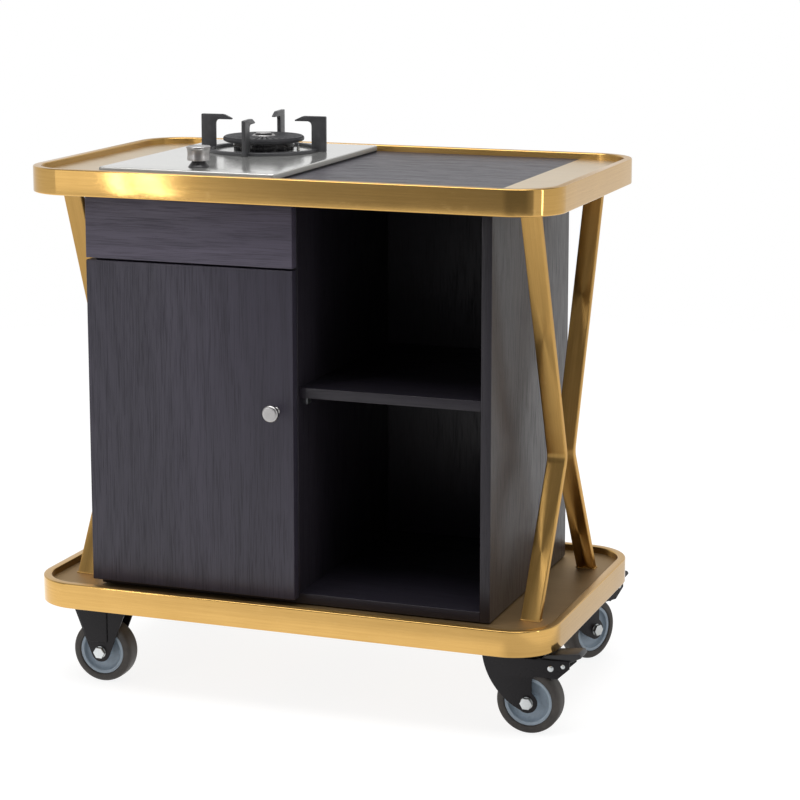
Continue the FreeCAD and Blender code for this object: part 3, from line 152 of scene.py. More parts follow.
class Shell:
    """The points and faces of one piece, gathered from closed surfaces."""

    def __init__(self):
        self.points = []
        self.faces = []
        self.uvs = []
        self.materials = []
        self.count = 0
        self.turn = np.eye(3)
        self.offset = np.zeros(3)

    def at(self, offset, degrees=0.0, lay=None):
        """Where the next surfaces go: laid by a matrix, turned about Z, then moved."""
        a = np.radians(degrees)
        about_z = np.array([(np.cos(a), -np.sin(a), 0), (np.sin(a), np.cos(a), 0), (0, 0, 1)])
        self.turn = about_z if lay is None else about_z @ np.asarray(lay, float)
        self.offset = np.asarray(offset, float)
        return self

    def grid(self, points, rows_close=False, u=None, v=None, material=0):
        """Quads between the rows and round the columns of a grid of points, with a flat face at each end.

        The sign of the volume under the faces tells which way they face, and turns them outwards.
        The material may be one for each column.
        """
        rows, columns = points.shape[:2]
        r = np.arange(rows if rows_close else rows - 1)
        r, c = (index.ravel() for index in np.meshgrid(r, np.arange(columns), indexing="ij"))
        r_on, c_on = (r + 1) % rows, (c + 1) % columns
        here, there = r * columns, r_on * columns
        quads = np.stack([here + c, here + c_on, there + c_on, there + c], 1)
        u = np.zeros(rows + 1) if u is None else u
        v = np.zeros(columns + 1) if v is None else v
        corner_u = np.stack([u[r], u[r], u[r + 1], u[r + 1]], 1)
        corner_v = np.stack([v[c], v[c + 1], v[c + 1], v[c]], 1)
        uvs = [np.stack([corner_u, corner_v], -1).reshape(-1, 2)]
        flat = points.reshape(-1, 3)
        faces = quads.tolist()
        first_row = np.arange(columns)
        ends = [] if rows_close else [first_row[::-1], first_row + (rows - 1) * columns]
        local = flat - flat.mean(0)
        a, b, d, e = (local[quads[:, k]] for k in range(4))
        volume = np.sum(a * np.cross(b, d)) + np.sum(a * np.cross(d, e))
        for end, place in zip(ends, (0, -2)):
            volume += np.sum(local[end[0]] * np.cross(local[end], local[np.roll(end, -1)]))
            faces.append(end.tolist())
            uvs.append(np.stack([np.full(columns, u[place]), v[end % columns]], 1))
        if volume < 0:
            faces = [face[::-1] for face in faces]
            uvs[0] = uvs[0].reshape(-1, 4, 2)[:, ::-1].reshape(-1, 2)
            uvs[1:] = [end_uv[::-1] for end_uv in uvs[1:]]
        self.points.append(flat @ self.turn.T + self.offset)
        self.faces += [[index + self.count for index in face] for face in faces]
        self.uvs += uvs
        by_column = np.broadcast_to(material, columns)
        self.materials += by_column[c].tolist() + [by_column[0].item()] * len(ends)
        self.count += len(flat)
        return self

    def lathe(self, profile, steps, closed=False, **more):
        """A profile of (radius, height) carried round Z: (r cos a, r sin a, h)."""
        radius, height = np.asarray(profile, float).T[:, :, None]
        return self.grid(turned(radius, angles(steps), height), rows_close=closed, **more)

    def slab(self, outline, low, high, edge, steps=3, **more):
        """An outline in XY raised from low to high, drawn in along a quarter circle at its two edges."""
        outline = np.asarray(outline, float)
        drawn = inward(outline)
        if edge:
            a = np.linspace(0, TURN / 4, steps + 1)
            inset = edge * (1 - np.sin(a))
            height = edge * (1 - np.cos(a))
            insets = np.concatenate([inset, inset[::-1]])
            heights = np.concatenate([low + height, (high - height)[::-1]])
        else:
            insets, heights = np.zeros(2), np.array([low, high], float)
        return self.grid(raised(outline + insets[:, None, None] * drawn, heights), **more)

    def board(self, low, high, edge, front=0):
        """A box whose twelve edges are rounded, with its own material on the front edge."""
        low, high = np.asarray(low, float), np.asarray(high, float)
        outline = soften(rectangle(low[:2], high[:2]), edge, 3)
        on_front = outline[:, 1] < low[1] + edge / 2
        return self.slab(outline, low[2], high[2], edge, material=np.where(on_front, front, 0))

    def sweep(self, path, normals, level, section, **more):
        """A section (across, up) carried round a closed path in XY: path + across normal, level + up."""
        flat = path[:, None] + section[None, :, :1] * normals[:, None]
        tall = np.broadcast_to(level + section[None, :, 1:], (*flat.shape[:2], 1))
        points = np.concatenate([flat, tall], -1)
        return self.grid(points, rows_close=True, u=measured(path), v=measured(section), **more)

    def piece(self, name, body, finishes, nodes, slot, crease=42):
        """Makes the Blender object, lets it ride on its body and stand for CAD nodes."""
        mesh = bpy.data.meshes.new(name)
        mesh.from_pydata(np.vstack(self.points).tolist(), [], self.faces)
        layer = mesh.uv_layers.new(name="along")
        layer.data.foreach_set("uv", np.vstack(self.uvs).astype(np.float32).ravel())
        for finish in finishes:
            mesh.materials.append(finish)
        mesh.polygons.foreach_set("material_index", np.array(self.materials, np.int32))
        mesh.polygons.foreach_set("use_smooth", np.ones(len(mesh.polygons), bool))
        mesh.validate()
        mesh.set_sharp_from_angle(angle=np.radians(crease))
        thing = bpy.data.objects.new(name, mesh)
        bpy.context.scene.collection.objects.link(thing)
        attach(thing, body)
        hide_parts(*nodes)


# Shader helpers


class Value:
    """A number or vector of a material. Arithmetic on it adds Math nodes, so formulas read as Python."""

    def __init__(self, graph, socket):
        self.graph = graph
        self.socket = socket

    def _math(self, operation, *values):
        node = self.graph.node("Math", {"operation": operation}, dict(enumerate(values)))
        return Value(self.graph, node.outputs[0])

    def __add__(self, other):
        return self._math("ADD", self, other)

    def __radd__(self, other):
        return self._math("ADD", other, self)

    def __sub__(self, other):
        return self._math("SUBTRACT", self, other)

    def __rsub__(self, other):
        return self._math("SUBTRACT", other, self)

    def __mul__(self, other):
        return self._math("MULTIPLY", self, other)

    def __pow__(self, other):
        return self._math("POWER", self, other)

    def sine(self):
        return self._math("SINE", self)

    def clamped(self, low, high, start=0.0, end=1.0):
        """Start at low, end at high, and a straight line between."""
        sockets = {"Value": self, "From Min": low, "From Max": high, "To Min": start, "To Max": end}
        return Value(self.graph, self.graph.node("MapRange", {"clamp": True}, sockets).outputs[0])


class Graph:
    """The node tree of one material or world."""

    def __init__(self, tree):
        self.tree = tree
        tree.nodes.clear()

    def node(self, kind, settings=None, sockets=None):
        """Adds a node of a type: first its settings, then the values or links of its sockets."""
        node = self.tree.nodes.new("ShaderNode" + kind)
        for name, value in (settings or {}).items():
            setattr(node, name, value)
        for name, value in (sockets or {}).items():
            if isinstance(value, Value):
                self.tree.links.new(value.socket, node.inputs[name])
            elif value is not None:
                node.inputs[name].default_value = value
        return node

    def value(self, kind, settings=None, sockets=None, output=0):
        return Value(self, self.node(kind, settings, sockets).outputs[output])

    def place(self, centre=(0, 0, 0), turn=(0, 0, 0), size=(1, 1, 1), source="Object"):
        """Coordinates about a centre, turned and in units of the given size along each axis."""
        start = self.value("TexCoord", output=source)
        sockets = {"Vector": start, "Location": centre, "Rotation": turn, "Scale": size}
        return self.value("Mapping", {"vector_type": "TEXTURE"}, sockets)

    def split(self, vector):
        """The three numbers of a vector."""
        return [Value(self, socket) for socket in self.node("SeparateXYZ", {}, {0: vector}).outputs]

    def rays(self):
        """Two numbers: one for a ray from the camera or through glass, and one for a reflection."""
        path = self.node("LightPath").outputs
        seen = Value(self, path["Is Camera Ray"]) + Value(self, path["Is Transmission Ray"])
        return seen, Value(self, path["Is Glossy Ray"])

    def noise(self, size, detail, roughness, centre=(0, 0, 0), turn=(0, 0, 0), source="Object", warp=0.0):
        """Soft noise from 0 to 1, whose blots have about the given size in metres, or a size on each axis."""
        size = size if isinstance(size, tuple) else (size,) * 3
        sockets = {"Vector": self.place(centre, turn, size, source), "Scale": 1.0, "Detail": detail}
        sockets.update({"Roughness": roughness, "Distortion": warp})
        return self.value("TexNoise", {}, sockets)

    def mix(self, share, first, second):
        """A colour between two."""
        sockets = {0: share, 6: colour(first), 7: colour(second)}
        return self.value("Mix", {"data_type": "RGBA"}, sockets, output=2)

    def bump(self, height, depth):
        """A normal raised by a height from 0 to 1, whose full range is a depth in metres."""
        return self.value("Bump", {}, {"Height": height, "Distance": depth, "Strength": 1.0})

    def shade(self, tint, roughness, normal, **constants):
        """The surface shader, with what is the same all over set on its own sockets."""
        sockets = {"Base Color": colour(tint), "Roughness": roughness, "Normal": normal}
        for name, value in constants.items():
            sockets[name.replace("_", " ").title().replace("Ior", "IOR")] = value
        return self.value("BsdfPrincipled", {}, sockets)


def colour(value):
    """A colour of three numbers with its alpha, or a socket as it is."""
    return value if isinstance(value, Value) else (*tuple(value)[:3], 1.0)


def scaled(tint, shares):
    """A colour with each of its channels multiplied by a share of its own."""
    return tuple(channel * share for channel, share in zip(tint, shares))


made = {}


def finish(function):
    """Keeps the materials that a finish function has made, one for each set of its values."""

    def find(*values):
        name = "_".join([function.__name__, *map(str, values)]).replace(" ", "").replace(".", "")
        if name not in made:
            material = bpy.data.materials.new(name)
            material.use_nodes = True
            graph = Graph(material.node_tree)
            surface = function(graph, bpy.context.scene.cart_colours, *values)
            graph.node("OutputMaterial", {}, {"Surface": surface})
            made[name] = material
        return made[name]

    return find


# Metals


@finish
def brushed_band(graph, tints, across, shade=1.0, dull=0.0):
    """Satin brass of the bands and straps: hair lines along the metal, faint cloudiness, rubbed spots.

    The gloss is drawn out across the lines: a quarter turn from the way round the cart, or along it.
    """
    lines = graph.noise((0.04, 0.00045, 1), 4, 0.7, source="UV")
    broad = graph.noise((0.25, 0.003, 1), 3, 0.5, source="UV")
    cloud = graph.noise(0.09, 3, 0.55)
    rubbed = graph.noise(0.02, 4, 0.7).clamped(0.62, 0.8)
    figure = (lines * 0.5 + broad * 0.3 + cloud * 0.2).clamped(0.3, 0.7)
    shown = (tints.band_dark, tints.band, tints.band_pale)
    # shade scales the brass into lit and shaded copies: painted light above 1, painted shade below 1.
    dark, plain, pale = (scaled(brass, [shade] * 3) for brass in shown)
    tone = graph.mix(rubbed * 0.2, graph.mix(figure, dark, plain), pale)
    rough = 0.06 + dull + lines * 0.03 + cloud * 0.03 + rubbed * 0.04
    normal = graph.bump(lines * 0.7 + broad * 0.3, 0.000012)
    return graph.shade(tone, rough, normal, metallic=1.0, anisotropic=0.93, anisotropic_rotation=across)


@finish
def brass_sheet(graph, tints, dulled_and_painted_shade=0.0):
    """The pale tray floors: sheet brushed along the cart, with dulled patches and a few fine scratches."""
    lines = graph.noise((0.3, 0.0012, 0.01), 4, 0.6)
    cloud = graph.noise((0.1, 0.06, 0.05), 3, 0.6)
    scratch = graph.noise((0.05, 0.0009, 0.01), 2, 0.4, turn=(0, 0, 0.5)).clamped(0.7, 0.74)
    # A dulled floor is rougher and also darker and browner: painted shade from the dark cabinet above it.
    shares = [1 - dulled_and_painted_shade * loss for loss in (0.42, 0.52, 0.66)]
    pale, dark = scaled(tints.sheet, shares), scaled(tints.sheet_dark, shares)
    tone = graph.mix((lines * 0.6 + cloud * 0.4).clamped(0.3, 0.7), dark, pale)
    rough = 0.24 + dulled_and_painted_shade * 0.2 + cloud * 0.14 + lines * 0.06 + scratch * 0.12
    return graph.shade(tone, rough, graph.bump(lines + scratch * 0.5, 0.00002), metallic=1.0)


@finish
def hob_steel(graph, tints):
    """Stainless steel with a fine grain across the hob, soft smears, hair scratches, and a rougher edge whose
    lower part is painted dark grey as painted shadow under the sheet.
    """
    lines = graph.noise((0.14, 0.0008, 0.01), 4, 0.6)
    smear = graph.noise((0.07, 0.05, 0.05), 3, 0.6, warp=0.8)
    spots = graph.noise(0.006, 2, 0.5).clamped(0.7, 0.8)
    _, _, height = graph.split(graph.place())
    # Below 824.6 mm the rolled edge is painted dark grey, painted shadow under the sheet, and made rougher.
    edge = height.clamped(0.8246, 0.8256, 1.0, 0.0)
    tone = graph.mix(lines * 0.7 + smear * 0.3, tints.steel_dark, tints.steel)
    tone = graph.mix(edge * 0.7, tone, (0.26, 0.25, 0.23))
    rough = 0.11 + lines * 0.05 + smear * 0.08 + spots * 0.08 + edge * 0.3
    return graph.shade(tone, rough, graph.bump(lines, 0.000015), metallic=0.8)


@finish
def zinc_plate(graph, tints):
    """Bright zinc plating on small steel parts: mottled, a little yellow in places, dull in the hollows."""
    mottle = graph.noise(0.004, 3, 0.6)
    cloud = graph.noise(0.03, 2, 0.5)
    tone = graph.mix(mottle * 0.6 + cloud * 0.4, tints.zinc_dark, tints.zinc)
    tone = graph.mix(cloud.clamped(0.6, 0.8) * 0.2, tone, (0.62, 0.58, 0.42))
    rough = 0.24 + mottle * 0.2
    return graph.shade(tone, rough, graph.bump(mottle, 0.00003), metallic=1.0)


@finish
def galvanised(graph, tints):
    """Galvanised sheet: crystal spangle in two greys under a dull film."""
    cells = graph.place(size=(0.009, 0.009, 0.009))
    spangle = graph.value("TexVoronoi", {}, {"Vector": cells, "Scale": 1.0}, output="Color")
    tone = graph.mix(spangle, tints.zinc_dark, tints.zinc)
    film = graph.noise(0.05, 3, 0.6)
    return graph.shade(tone, 0.35 + film * 0.2, graph.bump(film, 0.00004), metallic=1.0)


@finish
def black_coat(graph, tints):
    """Black stoved paint on pressed steel: slight orange peel, dust in soft patches, small chips."""
    peel = graph.noise(0.0016, 2, 0.5)
    dust = graph.noise(0.03, 4, 0.6).clamped(0.45, 0.85)
    chips = graph.noise(0.004, 3, 0.6).clamped(0.78, 0.8)
    tone = graph.mix(dust * 0.15, tints.coat, (0.04, 0.035, 0.038))
    tone = graph.mix(chips * 0.6, tone, (0.2, 0.19, 0.18))
    rough = 0.26 + dust * 0.2 + chips * 0.1
    normal = graph.bump(peel - chips * 0.6, 0.0001)
    return graph.shade(tone, rough, normal, specular_ior_level=0.22)


@finish
def turned_nickel(graph, tints, x, y, z, across):
    """Turned nickel: fine rings about an axis through (x, y, z), in the plane of the two axes across."""
    where = dict(zip("XYZ", graph.split(graph.place((x, y, z), size=(MM, MM, MM)))))
    first, second = (where[axis] for axis in across)
    radius = (first * first + second * second) ** 0.5
    sockets = {"W": radius * 3.0, "Scale": 1.0, "Detail": 3.0}
    rings = graph.value("TexNoise", {"noise_dimensions": "1D"}, sockets)
    cloud = graph.noise(0.01, 2, 0.5)
    tone = graph.mix(rings * 0.6 + cloud * 0.4, tints.nickel_dark, tints.nickel)
    return graph.shade(tone, 0.26 + rings * 0.14, graph.bump(rings, 0.00002), metallic=1.0)


@finish
def valve_brass(graph, tints):
    """Machined brass of the gas fittings, tarnished in clouds."""
    cloud = graph.noise(0.01, 4, 0.6)
    fine = graph.noise(0.0015, 2, 0.5)
    tone = graph.mix(cloud, (0.36, 0.24, 0.08), (0.66, 0.5, 0.22))
    return graph.shade(tone, 0.25 + cloud * 0.25, graph.bump(fine, 0.00005), metallic=1.0)


@finish
def cast_cap(graph, tints):
    """The burner's casting: heat-darkened and sandy, with paler rubbed patches, and groove floors painted
    almost black as painted shade.
    """
    sand = graph.noise(0.0012, 2, 0.6)
    heat = graph.noise(0.025, 4, 0.6)
    rub = graph.noise(0.006, 3, 0.7).clamped(0.6, 0.8)
    _, _, height = graph.split(graph.place())
    # Painted shade: the groove floors, about 1.5 mm under the top, and a thin band of wall at that height go
    # almost black and rougher.
    soot_and_painted_shade = height.clamped(0.8488, 0.8498, 1.0, 0.0) * height.clamped(0.8478, 0.8486)
    tone = graph.mix(heat, tints.casting_dark, tints.casting)
    tone = graph.mix(rub * 0.3, tone, (0.2, 0.2, 0.21))
    tone = graph.mix(soot_and_painted_shade * 0.85, tone, (0.012, 0.012, 0.013))
    normal = graph.bump(sand + heat * 0.5, 0.00015)
    rough = 0.36 + sand * 0.12 + heat * 0.1 + soot_and_painted_shade * 0.4
    return graph.shade(tone, rough, normal, specular_ior_level=0.28)


@finish
def black_enamel(graph, tints):
    """Matte vitreous enamel of the pan support: fine pebble, greyed on top by use."""
    pebble = graph.noise(0.0011, 3, 0.6)
    worn = graph.noise(0.012, 4, 0.65).clamped(0.5, 0.8)
    tone = graph.mix(pebble * 0.5 + worn * 0.5, tints.enamel, tints.enamel_pale)
    return graph.shade(tone, 0.38 + worn * 0.22, graph.bump(pebble, 0.0001), specular_ior_level=0.5)


@finish
def cup_black(graph, tints):
    """Glossy black of the burner's cup and crown, with a little soot."""
    soot_and_painted_shade = graph.noise(0.01, 3, 0.6).clamped(0.5, 0.8)
    grain = graph.noise(0.0014, 2, 0.5)
    tone = graph.mix(soot_and_painted_shade, tints.plastic, (0.03, 0.028, 0.028))
    return graph.shade(tone, 0.1 + soot_and_painted_shade * 0.25, graph.bump(grain, 0.00002), specular_ior_level=0.6)


# Wood


@finish
def black_oak(graph, tints, along, across, shade, arch, seed):
    """Open-pored oak stained black: a smooth dark ground with short thin pores that gather in bands.

    The bands are sin(rings), where rings grow across the board, are bent by slow noise along it and, on
    an arched board, also by the square of the distance from its middle. Pores are thin stretched noise
    that opens where a band is low.
    """
    where = dict(zip("XYZ", graph.split(graph.place((seed, seed * 0.7, seed * 0.3)))))
    run, width = where[along], where[across]

    def stretched(length, breadth, detail, roughness, warp=0.0):
        size = tuple(length if axis == along else breadth for axis in "XYZ")
        return graph.noise(size, detail, roughness, (seed, seed, seed), warp=warp)

    bend = stretched(0.5, 0.15, 2, 0.4)
    if arch:
        rings = width * width * (3200 * arch) + run * 60 + bend * 20
    else:
        rings = width * 170 + bend * 40
    bands = rings.sine() * 0.5 + 0.5
    pores = (stretched(0.05, 0.0009, 2, 0.5, 0.4) - bands * 0.05).clamped(0.5, 0.6)
    streak = stretched(0.25, 0.0024, 3, 0.6, 0.2)
    broad = stretched(0.9, 0.09, 2, 0.4)
    figure = (bands * (0.1 + arch * 0.12) + streak * 0.45 + broad * 0.5).clamped(0.3, 0.85)
    # shade scales the stain into lit and shaded copies, one per board or front: painted light above 1,
    # painted shade below 1.
    dark, pale, pore = (scaled(shown, shade) for shown in (tints.oak_dark, tints.oak_pale, tints.oak_pore))
    tone = graph.mix(pores * 0.4, graph.mix(figure, dark, pale), pore)
    rough = 0.36 + streak * 0.04 + pores * 0.2
    return graph.shade(tone, rough, graph.bump(pores * -1.0, 0.00008), specular_ior_level=0.4)


@finish
def drawer_ply(graph, tints):
    """The drawer box: dark foiled board with a printed grain and a soft sheen."""
    streak = graph.noise((0.003, 0.2, 0.003), 3, 0.6)
    cloud = graph.noise(0.08, 2, 0.5)
    tone = graph.mix(streak * 0.7 + cloud * 0.3, (0.03, 0.028, 0.028), (0.075, 0.068, 0.066))
    return graph.shade(tone, 0.45 + streak * 0.1, graph.bump(streak, 0.00008), specular_ior_level=0.4)


# Plastics, rubber and ceramic


@finish
def black_plastic(graph, tints):
    """Moulded black plastic: fine spark grain, greyed where it is handled."""
    grain = graph.noise(0.0007, 2, 0.5)
    worn = graph.noise(0.02, 3, 0.6).clamped(0.5, 0.85)
    tone = graph.mix(worn * 0.6, tints.plastic, (0.06, 0.057, 0.06))
    rough = 0.34 + worn * 0.15 + grain * 0.05
    return graph.shade(tone, rough, graph.bump(grain, 0.00006), specular_ior_level=0.5)


@finish
def tyre_rubber(graph, tints):
    """Grey-brown rubber: dust that clings in blots, and the slight grain of the mould."""
    grain = graph.noise(0.0009, 3, 0.6)
    dust = graph.noise(0.018, 4, 0.65).clamped(0.35, 0.8)
    tone = graph.mix(dust, tints.tyre, tints.tyre_dust)
    return graph.shade(tone, 0.55 + dust * 0.25, graph.bump(grain, 0.00012), specular_ior_level=0.4)


@finish
def hub_nylon(graph, tints):
    """Moulded blue-grey nylon with faint flow marks and a dusting of dirt."""
    flow = graph.noise(0.012, 3, 0.5, warp=1.2)
    dirt = graph.noise(0.006, 4, 0.6).clamped(0.55, 0.85)
    tone = graph.mix(flow, tints.hub_dark, tints.hub)
    tone = graph.mix(dirt * 0.35, tone, (0.09, 0.095, 0.1))
    rough = 0.4 + flow * 0.1 + dirt * 0.2
    return graph.shade(tone, rough, graph.bump(flow, 0.0001), specular_ior_level=0.5)


@finish
def white_ceramic(graph, tints):
    """Glazed ceramic of the electrode, browned a little by the flame."""
    browned = graph.noise(0.004, 3, 0.6)
    tone = graph.mix(browned.clamped(0.5, 0.9) * 0.5, (0.78, 0.76, 0.7), (0.42, 0.33, 0.24))
    return graph.shade(tone, 0.18 + browned * 0.12, graph.bump(browned, 0.00005), coat_weight=0.3)


@finish
def seal_foam(graph, tints):
    """Closed-cell foam strip."""
    cells = graph.noise(0.0012, 3, 0.7)
    tone = graph.mix(cells, (0.012, 0.012, 0.012), (0.05, 0.05, 0.05))
    return graph.shade(tone, 0.8 + cells * 0.15, graph.bump(cells, 0.0003), specular_ior_level=0.2)


# Sizes and colours that a user may change


def length(name, description, value):
    return FloatProperty(name=name, description=description, default=value, min=0.0, unit="LENGTH")


def tint(name, description, value):
    return FloatVectorProperty(
        name=name, description=description, default=value, min=0.0, max=1.0, subtype="COLOR"
    )


class CartSizes(bpy.types.PropertyGroup):
    """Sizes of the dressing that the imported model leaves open."""

    band_edge: length("Band edge", "Rounding of the edges of the tray bands", 0.0022)
    strap_edge: length("Strap edge", "Rounding of the edges of the straps", 0.0024)
    weld: length("Weld bead", "Radius of the bead round the foot of each strap", 0.0016)
    board_edge: length("Board edge", "Rounding of the edges of the carcass boards", 0.0009)
    front_edge: length("Front edge", "Rounding of the edges of door and drawer front", 0.0013)
    hob_roll: length("Hob edge", "Radius of the rolled edge of the hob", 0.003)
    sheet_edge: length("Sheet edge", "Rounding of the edges of forks and plates", 0.0007)
    floor: length("Floor", "Radius of the studio floor", 3.2)


class CartColours(bpy.types.PropertyGroup):
    """Colours of the finishes."""

    band: tint("Band", "Brass of bands and straps", (0.66, 0.41, 0.138))
    band_dark: tint("Band, dark", "Brass between the hair lines", (0.48, 0.285, 0.085))
    band_pale: tint("Band, pale", "Brass where it is rubbed", (0.78, 0.55, 0.25))
    sheet: tint("Tray sheet", "Pale brass of the tray floors", (0.74, 0.62, 0.45))
    sheet_dark: tint("Tray sheet, dark", "Pale brass between the hair lines", (0.58, 0.45, 0.28))
    steel: tint("Hob steel", "Stainless steel of the hob", (0.65, 0.65, 0.63))
    steel_dark: tint("Hob steel, dark", "Stainless steel between the hair lines", (0.53, 0.53, 0.515))
    zinc: tint("Zinc", "Zinc plating", (0.7, 0.72, 0.72))
    zinc_dark: tint("Zinc, dark", "Zinc plating in the mottle", (0.42, 0.44, 0.45))
    coat: tint("Black paint", "Stoved paint of forks and rails", (0.007, 0.0055, 0.007))
    nickel: tint("Nickel", "Turned knobs", (0.5, 0.49, 0.485))
    nickel_dark: tint("Nickel, dark", "Turning marks of the knobs", (0.31, 0.3, 0.3))
    casting: tint("Casting", "Burner cap", (0.04, 0.04, 0.044))
    casting_dark: tint("Casting, dark", "Burner cap where the flame has darkened it", (0.02, 0.02, 0.023))
    enamel: tint("Enamel", "Pan support", (0.03, 0.03, 0.032))
    enamel_pale: tint("Enamel, worn", "Pan support where it is greyed", (0.06, 0.06, 0.066))
    oak_dark: tint("Oak, dark", "Stained oak in the late wood", (0.027, 0.0243, 0.036))
    oak_pale: tint("Oak, pale", "Stained oak in the early wood", (0.047, 0.042, 0.061))
    oak_pore: tint("Oak, pores", "Open pores of the oak", (0.009, 0.008, 0.0115))
    plastic: tint("Plastic", "Moulded black parts", (0.014, 0.013, 0.015))
    tyre: tint("Tyre", "Rubber of the tyres", (0.048, 0.043, 0.040))
    tyre_dust: tint("Tyre, dusty", "Rubber under dust", (0.105, 0.095, 0.086))
    hub: tint("Hub", "Nylon of the wheel centres", (0.42, 0.51, 0.6))
    hub_dark: tint("Hub, dark", "Nylon in the flow marks", (0.33, 0.405, 0.48))


def sizes():
    return bpy.context.scene.cart_sizes


class CartStep(bpy.types.Operator):
    """A step of the dressing."""

    bl_options = {"REGISTER", "UNDO"}


# Frame


class CART_OT_bands(CartStep):
    """Makes the two tray bands: a flat bar with softened edges carried round a rounded rectangle.

    Its outer, inner and top faces each have a finish of their own; the inner one is rougher and painted
    darker as painted shade.
    """

    bl_idname = "cart.bands"
    bl_label = "Tray bands"

    def execute(self, context):
        for node in ("lower_rim", "upper_rim"):
            low, high = span(node)
            half, middle = (high - low) / 2, (high + low) / 2
            thick, corner, skin = 13 * MM, 74 * MM, 0.4 * MM
            path, normals = round_rectangle(half[0] - thick / 2, half[1] - thick / 2, corner - thick / 2, 20)
            section = soften(rectangle((-thick / 2, -half[2]), (thick / 2, half[2])), sizes().band_edge, 4)
            # inside picks the inner faces, whose brass is painted darker as painted shade
            inside = section[:, 0] < skin - thick / 2
            above = section[:, 1] > half[2] - skin
            face = np.where(inside, 1, np.where(above, 2, 0))
            # The inner faces' brass is scaled by 0.8 as painted shade and, like the top faces, made rougher.
            finishes = [brushed_band(0.25), brushed_band(0.25, 0.8, 0.2), brushed_band(0.25, 1.0, 0.2)]
            shell = Shell().sweep(path, normals, middle[2], section, material=face)
            shell.piece(node + "_band", "cart", finishes, [node], "brass_band", crease=60)
        return {"FINISHED"}


class CART_OT_straps(CartStep):
    """Makes the four bent straps with a weld bead round each foot.

    A bar's section, across n and along X, is carried along the bent line: line + across n + along X. The
    ends are then run on along the line to the level of the tray.
    """

    bl_idname = "cart.straps"
    bl_label = "Straps"

    def execute(self, context):
        top, knee, foot = np.array([(183, 813), (20.2, 386), (151.5, 166)]) * MM
        wide, thick = 30 * MM, 12 * MM
        from_middle, bend, foot_edge = 370 * MM, 12.6 * MM, 2 * MM
        line = soften([top, knee, foot], bend, 16, closed=False)
        bar = soften(rectangle((-thick / 2, -wide / 2), (thick / 2, wide / 2)), sizes().strap_edge, 4)
        for hand, side in (("left", -1), ("right", 1)):
            for row, way in (("front", -1), ("rear", 1)):
                x = side * from_middle
                path = np.column_stack([np.full(len(line), x), way * line[:, 0], line[:, 1]])
                along = unit(np.gradient(path, axis=0))
                normals = np.cross(along, (1.0, 0, 0))
                points = path[:, None] + bar[None, :, :1] * normals[:, None] + bar[None, :, 1:] * [1.0, 0, 0]
                for end, level in ((0, top[1]), (-1, foot[1])):
                    points[end] += along[end] * ((level - points[end][:, 2]) / along[end][2])[:, None]
                shell = Shell().grid(points, u=measured(path) + x + way, v=measured(bar))
                half_y = thick / 2 / abs(along[-1][2])
                ring = soften(rectangle((-wide / 2, -half_y), (wide / 2, half_y)), foot_edge, 4)
                place = np.array([x, way * foot[0]])
                shell.sweep(ring + place, -inward(ring), foot[1], circle(sizes().weld, 10))
                # The straps' brass is scaled by 1.02 as painted light, and made rougher.
                finishes = [brushed_band(0.0, 1.02, 0.4)]
                name = f"strap_{row}_{hand}"
                shell.piece(name + "_bar", "cart", finishes, [name], "brass_band", crease=60)
        return {"FINISHED"}


# Cabinet


class CART_OT_boards(CartStep):
    """Makes the oak boards of the carcass, each with its own grain and its own painted light and shade, soft
    edges, and a front edge painted darker as painted shade.
    """

    bl_idname = "cart.boards"
    bl_label = "Carcass boards"

    def execute(self, context):
        # The shade column gives lit and shaded copies of the stain: divider, bottom board, shelf and middle
        # rail painted darker as painted shade, the back panel lighter and bluer and the side panels less
        # blue, as painted light.
        grain = {
            "side_panel_left": ("Z", "Y", (0.95, 0.88, 0.62), 1.0, 0.31),
            "side_panel_right": ("Z", "Y", (0.95, 0.88, 0.62), 1.0, 0.02),
            "divider_panel": ("Z", "Y", (0.6, 0.57, 0.55), 0.0, 0.45),
            "bottom_board": ("X", "Y", (0.35, 0.33, 0.36), 0.0, 0.17),
            "shelf_board": ("X", "Y", (0.3, 0.28, 0.3), 0.0, 0.63),
            "middle_rail": ("X", "Z", (0.5, 0.47, 0.54), 0.0, 0.72),
            "back_panel": ("Z", "X", (1.1, 1.0, 1.3), 0.0, 0.84),
        }
        for node, (along, across, shade, arch, seed) in grain.items():
            shell = Shell().board(*span(node), sizes().board_edge, front=1)
            # The front edges get a copy of the stain scaled to about 0.4: painted shade.
            front_edge_painted_shade = black_oak(along, "X" if along == "Z" else "Z", (0.42, 0.37, 0.38), 0.0, seed)
            finishes = [black_oak(along, across, shade, arch, seed), front_edge_painted_shade]
            shell.piece(node + "_oak", "cart", finishes, [node], "black_oak")
        return {"FINISHED"}


class CART_OT_fronts(CartStep):
    """Makes the door, grained upright, and the drawer front, grained along its length."""

    bl_idname = "cart.fronts"
    bl_label = "Door and drawer front"

    def execute(self, context):
        # Both fronts are lighter copies of the stain, painted light: the door about 1.17 times, the drawer
        # front about 2.5 times.
        upright = black_oak("Z", "X", (1.18, 1.16, 1.16), 0.0, 0.11)
        level = black_oak("X", "Z", (2.6, 2.5, 2.45), 0.0, 0.29)
        for name, body, node, oak in (
            ("door_oak", "door", "door_panel", upright),
            ("drawer_front_oak", "drawer", "drawer_front", level),
        ):
            Shell().board(*span(node), sizes().front_edge).piece(name, body, [oak], [node], "black_oak")
        return {"FINISHED"}


